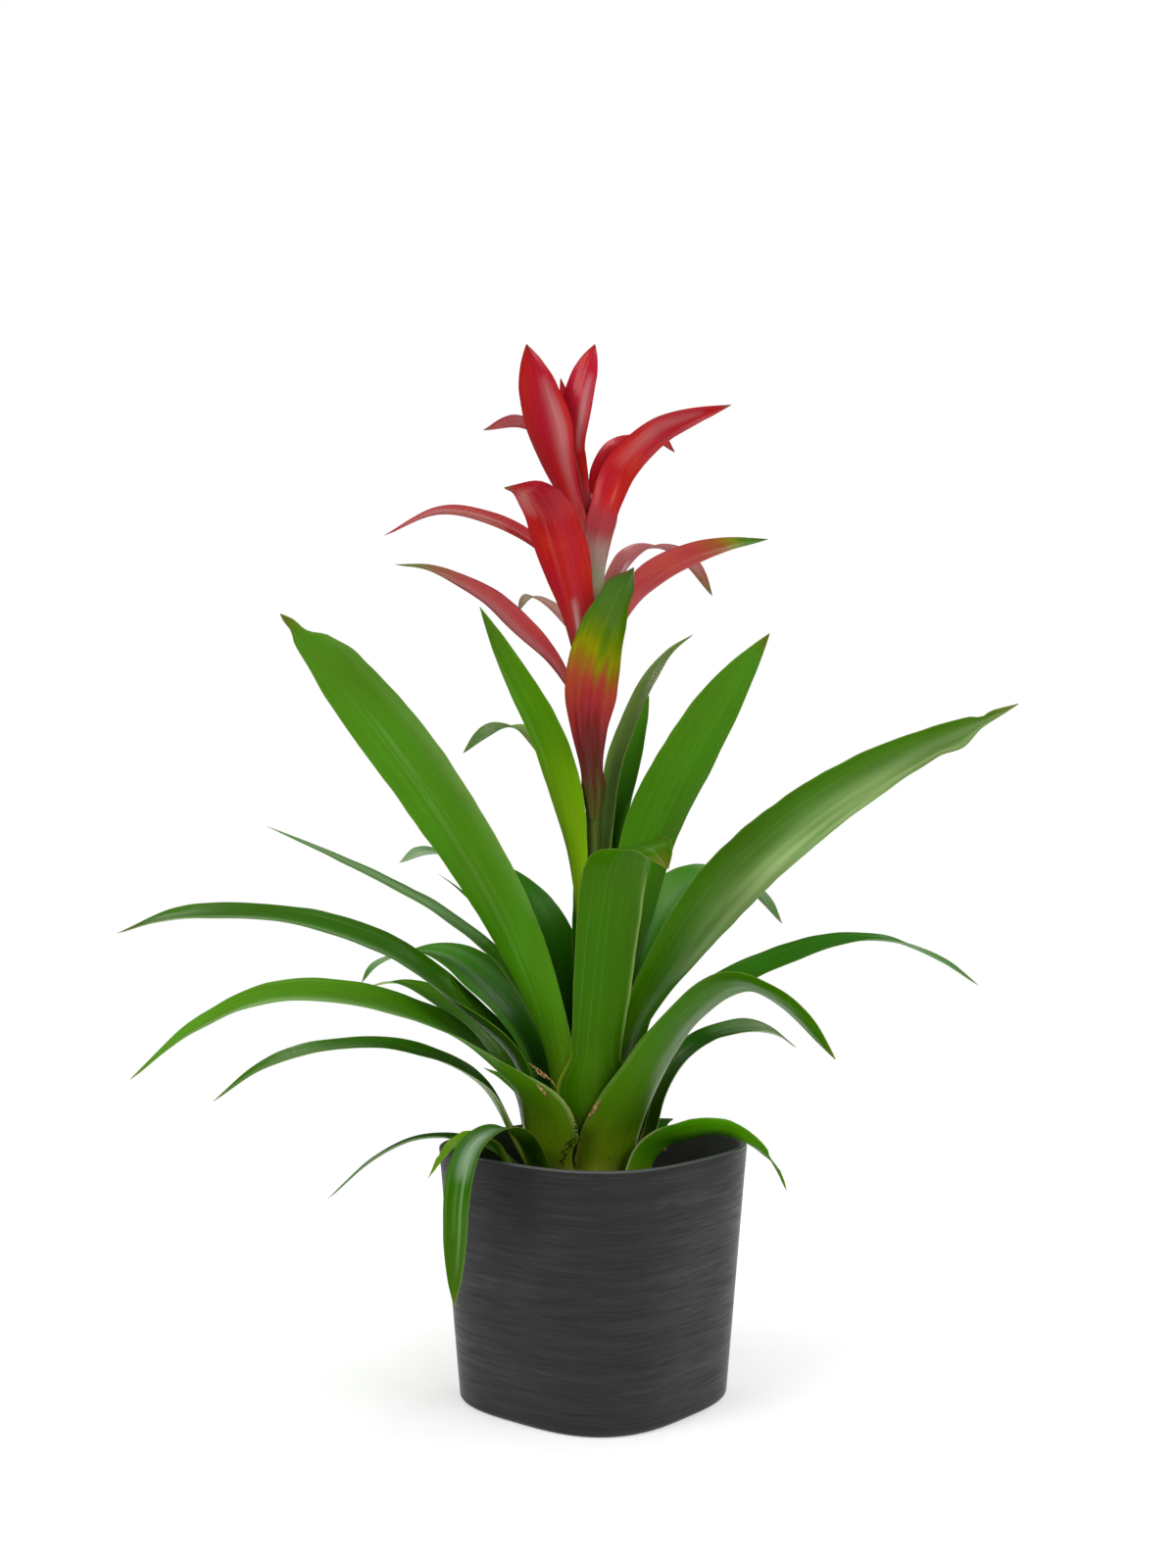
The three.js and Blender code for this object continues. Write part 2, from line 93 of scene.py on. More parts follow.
# A level circle of points
def circle(radius, height, sides, turn=0):
    angles = [2 * math.pi * j / sides + turn for j in range(sides)]
    return [Vector((radius * math.cos(angle), radius * math.sin(angle), height)) for angle in angles]


# A closed piece from rings of points in millimetres, with the heights of the two points that close its ends
def pieceFromRings(name, rings, ends, material):
    sides = len(rings[0])
    below = len(rings) * sides
    last = below - sides
    points = [point * mm for ring in rings for point in ring] + [Vector((0, 0, end)) * mm for end in ends]
    faces = []
    for j in range(sides):
        k = (j + 1) % sides
        faces.append((below, k, j))
        for i in range(0, last, sides):
            faces.append((i + j, i + k, i + sides + k, i + sides + j))
        faces.append((below + 1, last + j, last + k))
    return pieceFromFaces(name, points, faces, material)


def settle(piece, slot, *nodes):
    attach(piece, "root")
    if nodes:
        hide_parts(*nodes)
    made[piece.name] = piece


noiseBand = (0.3, 0.7)  # where nearly all of a noise lies

# Living leaf under a smooth, slightly waxy cuticle, grown: fine veins run its length, its margin is a thin
# pale line, old sheaths are specked and dry brown at their feet. It shines in long soft streaks.
leafCuticle = {
    "streakWidth": 2.4, "streakLength": 90, "streakDepth": 0.08,  # real streaks are finer, these still show
    "blotchSize": 24, "blotchDepth": 0.12, "veinSpacing": 2.8,  # real veins are 0.6 mm apart
    "veinHeight": 0.022, "margin": "a8bc5c", "marginWidth": 0.5, "marginShare": 0.3,
    "lineSpacing": 6.5, "line": "a9c67c", "lineShare": 0.22,
    "roughness": (0.3, 0.4),
    "sockets": {"IOR": 1.45, "Specular IOR Level": 0.2, "Specular Tint": hexColour("ecff90")},
}

# Coloured bract: the same tissue with a thicker wax, smoother and glossier, with less vein relief
bractWax = {
    "streakWidth": 1.9, "streakLength": 60, "streakDepth": 0.09,
    "blotchSize": 16, "blotchDepth": 0.1, "veinSpacing": 2.4,
    "veinHeight": 0.018, "margin": "8f1016", "marginWidth": 0.5, "marginShare": 0.35,
    "lineSpacing": 5, "line": "e08a84", "lineShare": 0.22,
    "roughness": (0.22, 0.3),
    "sockets": {"IOR": 1.46, "Specular IOR Level": 0.34, "Specular Tint": hexColour("ffd8d0")},
}

# Marks on both, with sizes across and along the blade. A spread is where a mark fades.
bladeMarks = {
    "hues": (0.494, 0.506), "lineLength": 900, "lineSpread": (0.004, 0.014), "lineShift": (7.3, 2.1, 0),
    "speck": "4a3a1c", "speckSize": (5, 8), "speckSpread": (0.09, 0.13), "speckShare": 0.8,
    "dry": "9a7a45", "drySize": (3, 11), "drySpread": (0.5, 0.62), "dryShare": 0.9,
    "veinWander": 9, "reliefSpread": (0.2, 4),
}


def bladeMaterial(name, look):
    material, tree, shader = newMaterial(name)
    look = {**bladeMarks, **look}
    place = addNode(tree, "ShaderNodeUVMap", uv_map="blade")  # millimetres across and along the blade
    tint = addNode(tree, "ShaderNodeAttribute", attribute_name="tint")
    edge = addNode(tree, "ShaderNodeAttribute", attribute_name="edge").outputs["Fac"]
    wear = addNode(tree, "ShaderNodeAttribute", attribute_name="wear").outputs["Fac"]
    # fine streaks and broad blotches, darker and paler
    streakPlace = addNode(tree, "ShaderNodeMapping", {
        "Vector": place, "Scale": (1 / look["streakWidth"], 1 / look["streakLength"], 1)})
    streak = addNode(tree, "ShaderNodeTexNoise", {
        "Vector": streakPlace, "Scale": 1, "Detail": 3, "Roughness": 0.6})
    blotchPlace = addNode(tree, "ShaderNodeMapping", {
        "Vector": place, "Scale": (1 / look["blotchSize"], 1 / (2.5 * look["blotchSize"]), 1)})
    blotch = addNode(tree, "ShaderNodeTexNoise", {"Vector": blotchPlace, "Scale": 1, "Detail": 2})
    tones = []
    for pattern, depth in ((streak, look["streakDepth"]), (blotch, look["blotchDepth"])):
        span = (pattern, *noiseBand, 1 - depth, 1 + depth)
        tones.append(addNode(tree, "ShaderNodeMapRange", span, clamp=False))
    tone = addNode(tree, "ShaderNodeMath", tones, operation="MULTIPLY")
    hue = addNode(tree, "ShaderNodeMapRange", (blotch, *noiseBand, *look["hues"]))
    toned = addNode(tree, "ShaderNodeHueSaturation", {"Hue": hue, "Value": tone, "Color": tint})
    # a few long pale lines where the young blades were pressed together
    linePlace = addNode(tree, "ShaderNodeMapping", {
        "Vector": place, "Location": look["lineShift"],
        "Scale": (1 / look["lineSpacing"], 1 / look["lineLength"], 1)})
    lineNoise = addNode(tree, "ShaderNodeTexNoise", {"Vector": linePlace, "Scale": 1, "Detail": 0})
    lineGap = addNode(tree, "ShaderNodeMath", (lineNoise, 0.5), operation="SUBTRACT")
    lineNear = addNode(tree, "ShaderNodeMath", {0: lineGap}, operation="ABSOLUTE")
    lineMask = addNode(tree, "ShaderNodeMapRange", (lineNear, *look["lineSpread"], look["lineShare"], 0))
    lineFaded = addNode(tree, "ShaderNodeMath", (lineMask, blotch), operation="MULTIPLY")
    lined = addNode(tree, "ShaderNodeMixRGB", (lineFaded, toned, hexColour(look["line"])))
    # the pale margin
    nearEdge = addNode(tree, "ShaderNodeMapRange", (edge, 0.1, look["marginWidth"], look["marginShare"], 0))
    margined = addNode(tree, "ShaderNodeMixRGB", (nearEdge, lined, hexColour(look["margin"])))
    # brown specks, and dry tan patches where the blade is worn
    across, down = look["speckSize"]
    speckPlace = addNode(tree, "ShaderNodeMapping", {"Vector": place, "Scale": (1 / across, 1 / down, 1)})
    speck = addNode(tree, "ShaderNodeTexVoronoi", {"Vector": speckPlace, "Scale": 1, "Randomness": 1})
    speckMask = addNode(tree, "ShaderNodeMapRange", (speck, *look["speckSpread"], look["speckShare"], 0))
    speckWorn = addNode(tree, "ShaderNodeMath", (speckMask, wear), operation="MULTIPLY", use_clamp=True)
    specked = addNode(tree, "ShaderNodeMixRGB", (speckWorn, margined, hexColour(look["speck"])))
    across, down = look["drySize"]
    dryPlace = addNode(tree, "ShaderNodeMapping", {"Vector": place, "Scale": (1 / across, 1 / down, 1)})
    dryNoise = addNode(tree, "ShaderNodeTexNoise", {
        "Vector": dryPlace, "Scale": 1, "Detail": 4, "Roughness": 0.7})
    dryLevel = addNode(tree, "ShaderNodeMath", (wear, dryNoise), operation="MULTIPLY")
    dryMask = addNode(tree, "ShaderNodeMapRange", (dryLevel, *look["drySpread"], 0, look["dryShare"]))
    dried = addNode(tree, "ShaderNodeMixRGB", (dryMask, specked, hexColour(look["dry"])))
    rough = addNode(tree, "ShaderNodeMapRange", (streak, *noiseBand, *look["roughness"]))
    roughDry = addNode(tree, "ShaderNodeMath", (rough, dryMask), operation="MAXIMUM")
    # relief of the veins, which fades where the blade narrows, because they run together there
    across = addNode(tree, "ShaderNodeSeparateXYZ", {0: place})
    perTurn = 2 * math.pi / look["veinSpacing"]
    turns = addNode(tree, "ShaderNodeMath", (across, perTurn), operation="MULTIPLY")
    wander = addNode(tree, "ShaderNodeMath", (blotch, look["veinWander"], turns), operation="MULTIPLY_ADD")
    vein = addNode(tree, "ShaderNodeMath", {0: wander}, operation="SINE")
    relief = addNode(tree, "ShaderNodeMapRange", (edge, *look["reliefSpread"], 0, 1))
    height = addNode(tree, "ShaderNodeMath", (streak, 0.7, vein), operation="MULTIPLY_ADD")
    bump = addNode(tree, "ShaderNodeBump", {
        "Strength": relief, "Distance": look["veinHeight"] * mm, "Height": height})
    setInputs(tree, shader, {"Base Color": dried, "Roughness": roughDry, "Normal": bump, **look["sockets"]})
    return material


# What leaves and bracts are made of. fold is the depth of the long soft folds, ripple that of the margin's
# waves.
leafTissue = {"material": bladeMaterial("leafCuticle", leafCuticle), "fold": 0.55, "ripple": 0.7}
bractTissue = {"material": bladeMaterial("bractWax", bractWax), "fold": 0.385, "ripple": 0.35}

# The kinds of blade. Their colours go from the foot to the tip, on the face towards the stalk (upper) and on
# the other (lower).
bladeKinds = {
    "leaf": {
        **leafTissue, "slot": "leaf",
        "upper": [(0, "a8a838"), (0.07, "5c8206"), (0.18, "3e7200"), (0.5, "306800"), (0.95, "3c7000"),
                  (1, "6c7020")],
        "lower": [(0, "b0ac3c"), (0.07, "628808"), (0.18, "447800"), (0.5, "366e00"), (0.95, "407600"),
                  (1, "747828")],
    },
    "darkLeaf": {
        **leafTissue, "slot": "dark_leaf",
        "upper": [(0, "8a8f34"), (0.1, "3e7404"), (0.25, "2a6e00"), (0.95, "2e7200"), (1, "50641a")],
        "lower": [(0, "939740"), (0.1, "487c0c"), (0.25, "327800"), (0.95, "367c00"), (1, "5c6c28")],
    },
    "yellowLeaf": {
        **leafTissue, "slot": "yellow_leaf",
        "upper": [(0, "b96a42"), (0.06, "a9a030"), (0.16, "8cb410"), (0.4, "7cb00c"), (0.7, "549608"),
                  (1, "54801c")],
        "lower": [(0, "b95a40"), (0.06, "a9a030"), (0.16, "94bc14"), (0.4, "82b80e"), (0.7, "58980a"),
                  (1, "54801c")],
    },
    "bract": {
        **bractTissue, "slot": "bract",
        "upper": [(0, "a3ad5c"), (0.08, "b88e6a"), (0.2, "cc4844"), (0.35, "ce202a"), (0.95, "ce202a"),
                  (1, "a03820")],
        "lower": [(0, "b0b868"), (0.08, "cfa68a"), (0.2, "d85054"), (0.35, "d8242e"), (0.95, "d8242e"),
                  (1, "a03820")],
    },
    "pinkBract": {
        **bractTissue, "slot": "pink_bract",
        "upper": [(0, "a8b060"), (0.15, "e0b0a0"), (0.35, "e89c98"), (0.8, "e07478"), (0.93, "c07c58"),
                  (1, "70903a")],
        "lower": [(0, "a8b060"), (0.15, "e4b8a8"), (0.35, "eeaaa4"), (0.8, "e48488"), (0.93, "c07c58"),
                  (1, "70903a")],
    },
}


# A value read from a table of [place, value] points through a smooth curve
def along(table, place):
    i = 0
    while i < len(table) - 2 and place > table[i + 1][0]:
        i += 1

    def slope(k):
        before = table[max(k - 1, 0)]
        after = table[min(k + 1, len(table) - 1)]
        return (after[1] - before[1]) / (after[0] - before[0])

    (x0, y0), (x1, y1) = table[i], table[i + 1]
    step = x1 - x0
    t = (place - x0) / step
    return (y0 * (1 + 2 * t) * (1 - t) ** 2 + slope(i) * step * t * (1 - t) ** 2
            + y1 * t * t * (3 - 2 * t) + slope(i + 1) * step * t * t * (t - 1))


def colourAlong(stops, place):
    place = min(max(place, 0), 1)
    for (x0, first), (x1, second) in zip(stops, stops[1:]):
        if place <= x1:
            share = (place - x0) / (x1 - x0)
            return blend(hexColour(first), hexColour(second), share * share * (3 - 2 * share))
    return hexColour(stops[-1][1])


# Share of its full width that a blade has along its length: a sheath, a neck, a belly and a long fine point
def outline(sheath, neck, belly):
    rest = 1 - belly
    return [[0, sheath], [0.07, 0.96 * sheath], [0.18, neck], [belly / 2 + 0.1, (1 + neck) / 2], [belly, 1],
            [belly + 0.5 * rest, 0.82], [belly + 0.78 * rest, 0.48], [belly + 0.92 * rest, 0.2], [1, 0.015]]


# Points of the smooth curve through a path's own points, close together
def curvePoints(path):
    steps = 40
    points = []
    for reach, height, *swing in path:
        angle = math.radians(swing[0] if swing else 0)
        points.append(Vector((reach * math.cos(angle), reach * math.sin(angle), height)))
    points = [2 * points[0] - points[1], *points, 2 * points[-1] - points[-2]]
    curve = []
    for a, b, c, d in zip(points, points[1:], points[2:], points[3:]):
        g0, g1, g2 = [math.sqrt((q - p).length) for p, q in ((a, b), (b, c), (c, d))]
        start = ((b - a) / g0 - (c - a) / (g0 + g1) + (c - b) / g1) * g1
        end = ((c - b) / g1 - (d - b) / (g1 + g2) + (d - c) / g2) * g1
        for k in range(steps):
            t = k / steps
            square = 3 * (c - b) - 2 * start - end
            cube = 2 * (b - c) + start + end
            curve.append(b + start * t + square * t * t + cube * t ** 3)
    return curve + [points[-2]]


# What every blade has unless its own entry says otherwise. An unevenness is its fineness and its shift across
# the blade, its length in millimetres and a shift of its seed.
bladeShape = {
    "thickness": 0.8, "marginThickness": 0.35,  # in the middle, as packed, and the share left at the margins
    "columns": 14, "rowLength": 2.6, "tangentReach": 0.012, "twist": (0, 0), "seedStep": 1.37,
    "pointHalf": 1.5,  # the point thins out where half its width is less
    "sheathEnd": 0.16, "freeOver": 0.2, "fullWidth": 6,  # sheaths and narrow blades lie smooth
    "folds": (1.7, 0, 60, 0), "creases": (4.5, 0, 90, 7), "creaseShare": 0.45, "ripples": (0.6, 5, 17, 3),
    "torn": 0, "tearFrom": 0.55, "tearDepth": 1.6, "tears": (0.7, 9, 4, 0),
    "nickDepth": 0.025, "nicks": (1, 2, 9, 5), "flares": (),
    "flame": 0.02, "flames": (5, 0, 45, 0), "bloomsAndHighlights": (), "bloomAndHighlightGrain": 0.9, "grains": (6, 0, 50, 11),
    "rims": (), "rimFade": (0.04, 0.06), "patternShift": 60, "faceShift": 9,
    "worn": 0, "wornEnd": 0.3, "dryTip": 0.7, "dryFrom": 0.975,
}
leafShape = {"sheath": 1.15, "neck": 0.86, "wrap": 68, "cup": 24, "belly": 0.45, "firstSeed": 0}
bractShape = {"sheath": 0.7, "neck": 0.6, "wrap": 80, "cup": 30, "belly": 0.5, "firstSeed": 40}


# Unevenness of a blade at a share across it and a distance along it
def uneven(pattern, a, distance, seed):
    fineness, shift, length, seedShift = pattern
    return noise.noise(Vector((a * fineness + shift, distance / length, seed + seedShift)))


# Where the points of a blade are: its length, and two functions. The first gives its middle, directions and
# width at a share along it, from foot to tip. The second gives a point from those, the share across from -1
# to 1, and the height over its middle sheet towards the stalk.
def bladeSheet(blade):
    curve = curvePoints(blade["path"])
    lengths = [0.0]
    for p, q in zip(curve, curve[1:]):
        lengths.append(lengths[-1] + (q - p).length)
    total = lengths[-1]
    widths = outline(blade["sheath"], blade["neck"], blade["belly"])
    twists = [[0, 0], [0.14, 0], [0.5, blade["twist"][0]], [1, blade["twist"][1]]]
    turn = Matrix.Rotation(math.radians(blade["turn"]), 3, "Z")
    seed = blade["seed"]

    def middle(s):
        goal = min(max(s, 0), 1) * total
        low, high = 0, len(lengths) - 1
        while high - low > 1:
            half = (low + high) // 2
            low, high = (half, high) if lengths[half] <= goal else (low, half)
        share = (goal - lengths[low]) / max(lengths[low + 1] - lengths[low], 1e-9)
        return curve[low].lerp(curve[low + 1], share)

    def ring(s):
        centre = middle(s)
        tangent = (middle(s + blade["tangentReach"]) - middle(s - blade["tangentReach"])).normalized()
        reach = math.hypot(centre.x, centre.y)
        around = Vector((-centre.y, centre.x, 0)) / reach
        lateral = (around - around.dot(tangent) * tangent).normalized()
        inward = tangent.cross(lateral)
        bend = math.radians(along(twists, s))
        b = lateral * math.cos(bend) + inward * math.sin(bend)
        n = inward * math.cos(bend) - lateral * math.sin(bend)
        half = min(blade["width"] / 2 * along(widths, s), math.radians(blade["wrap"]) * reach)
        spread = max(math.radians(blade["cup"]) * (1 - s / 2), half / reach)
        return centre, b, n, half, spread

    def place(row, s, a, lift):
        centre, b, n, half, spread = row
        distance = s * total
        free = min(max((s - blade["sheathEnd"]) / blade["freeOver"], 0), 1)
        size = min(half / blade["fullWidth"], 1)
        fold = uneven(blade["folds"], a, distance, seed)
        fold += uneven(blade["creases"], a, distance, seed) * blade["creaseShare"]
        ripple = uneven(blade["ripples"], a, distance, seed) * a * a
        lift += free * size * (fold * blade["fold"] + ripple * blade["ripple"])
        tear = blade["torn"] * max(s - blade["tearFrom"], 0) / (1 - blade["tearFrom"])
        notch = 1 - tear * abs(uneven(blade["tears"], a, distance, seed)) * blade["tearDepth"]
        notch *= 1 + free * uneven(blade["nicks"], a, distance, seed) * blade["nickDepth"]
        for start, end, side, amount in blade["flares"]:
            if start < s < end and (side == 0 or a * side > 0):
                notch *= 1 + amount * math.sin(math.pi * (s - start) / (end - start)) ** 2
        radius = half / spread
        angle = spread * a * notch
        outwards = radius - lift
        point = centre + b * (outwards * math.sin(angle)) + n * (radius - outwards * math.cos(angle))
        return turn @ point * mm

    return total, ring, place


# A blade's colour at a place: its gradient, with blooms and pale rims laid over it. The blooms are painted
# highlights, pale streaks for the lamps' glare, partly a real wax bloom.
def bladeTint(blade, stops, s, a, distance, seed):
    tint = colourAlong(stops, s + blade["flame"] * uneven(blade["flames"], a, distance, seed))
    # painted highlight: pale streaks where the lamps' glare falls, partly a real wax bloom
    for middle, reach, start, end, colour, depth in blade["bloomsAndHighlights"]:
        if start < s < end:
            depth *= math.exp(-((a - middle) / reach) ** 2)
            depth *= math.sin(math.pi * (s - start) / (end - start)) ** 0.5
            depth *= 1 + blade["bloomAndHighlightGrain"] * uneven(blade["grains"], a, distance, blade["seed"])
            tint = blend(tint, hexColour(colour), max(depth, 0))
    fadeIn, fadeOut = blade["rimFade"]
    for side, start, end, colour, depth in blade["rims"]:
        if start < s < end and abs(a) == 1 and a * side >= 0:
            depth *= min(1, (s - start) / fadeIn, (end - s) / fadeOut)
            tint = blend(tint, hexColour(colour), depth)
    return tint


def bladePiece(blade):
    total, ring, place = bladeSheet(blade)
    columns = blade["columns"]
    rows = max(30, round(total / blade["rowLength"]))
    points, tints, edges, wears, places = [], [], [], [], []
    for i in range(rows + 1):
        s = i / rows
        distance = s * total
        row = ring(s)
        half = row[3]
        thin = min(1, half / blade["pointHalf"])
        worn = blade["worn"] * max(1 - s / blade["wornEnd"], 0)
        dry = blade["dryTip"] * max((s - blade["dryFrom"]) / (1 - blade["dryFrom"]), 0)
        patternWidth = 0.15 * blade["width"] + 0.7 * half  # it narrows less than the blade does
        for face, stops in ((1, blade["upper"]), (-1, blade["lower"])):
            for j in range(columns + 1):
                a = 2 * j / columns - 1
                share = blade["marginThickness"] + (1 - blade["marginThickness"]) * (1 - a * a)
                points.append(place(row, s, a, face * blade["thickness"] / 2 * share * thin))
                tints += bladeTint(blade, stops, s, a, distance, blade["seed"] + face)
                edges.append(half * (1 - abs(a)))
                wears.append(max(worn, dry))
                places.append((a * patternWidth + blade["patternShift"] * blade["seed"],
                               distance + blade["faceShift"] * face))

    def corner(i, face, j):
        return (i * 2 + face) * (columns + 1) + j

    faces = []
    last = columns
    for i in range(rows):
        k = i + 1
        for j in range(columns):
            faces.append((corner(i, 0, j), corner(k, 0, j), corner(k, 0, j + 1), corner(i, 0, j + 1)))
            faces.append((corner(k, 1, j + 1), corner(k, 1, j), corner(i, 1, j), corner(i, 1, j + 1)))
        faces.append((corner(i, 1, 0), corner(k, 1, 0), corner(k, 0, 0), corner(i, 0, 0)))
        faces.append((corner(i, 0, last), corner(k, 0, last), corner(k, 1, last), corner(i, 1, last)))
    for j in range(columns):
        k = j + 1
        faces.append((corner(0, 0, j), corner(0, 0, k), corner(0, 1, k), corner(0, 1, j)))
        faces.append((corner(rows, 0, k), corner(rows, 0, j), corner(rows, 1, j), corner(rows, 1, k)))
    piece = pieceFromFaces(blade["name"] + "_grown", points, faces, blade["material"])
    mesh = piece.data
    mesh.attributes.new("tint", "FLOAT_COLOR", "POINT").data.foreach_set("color", tints)
    mesh.attributes.new("edge", "FLOAT", "POINT").data.foreach_set("value", edges)
    mesh.attributes.new("wear", "FLOAT", "POINT").data.foreach_set("value", wears)
    corners = [0] * len(mesh.loops)
    mesh.loops.foreach_get("vertex_index", corners)
    layer = mesh.uv_layers.new(name="blade")
    layer.uv.foreach_set("vector", [value for c in corners for value in places[c]])
    mesh.set_sharp_from_angle(angle=math.radians(55))
    return piece


# Greens that several blades share
tallGreen = [(0, "a8a838"), (0.12, "709c12"), (0.25, "549210"), (0.45, "4a8a10"), (0.95, "529018"),
             (1, "6c7020")]
brightGreen = [(0, "b0a848"), (0.15, "8cb81c"), (0.3, "80bc18"), (0.95, "80bc1c"), (1, "80a030")]
vividGreen = [(0, "8a8f34"), (0.15, "5c9c18"), (0.3, "3f8c14"), (0.95, "4a9418"), (1, "607a20")]
# the last is a pale green made paler still, as painted highlight for the glare on the stalk leaves
paleGreenWithSheen = [(0, "a8904c"), (0.12, "98a850"), (0.3, "8cb45c"), (0.6, "8cb458"), (0.95, "80ac54"),
             (1, "6c7038")]
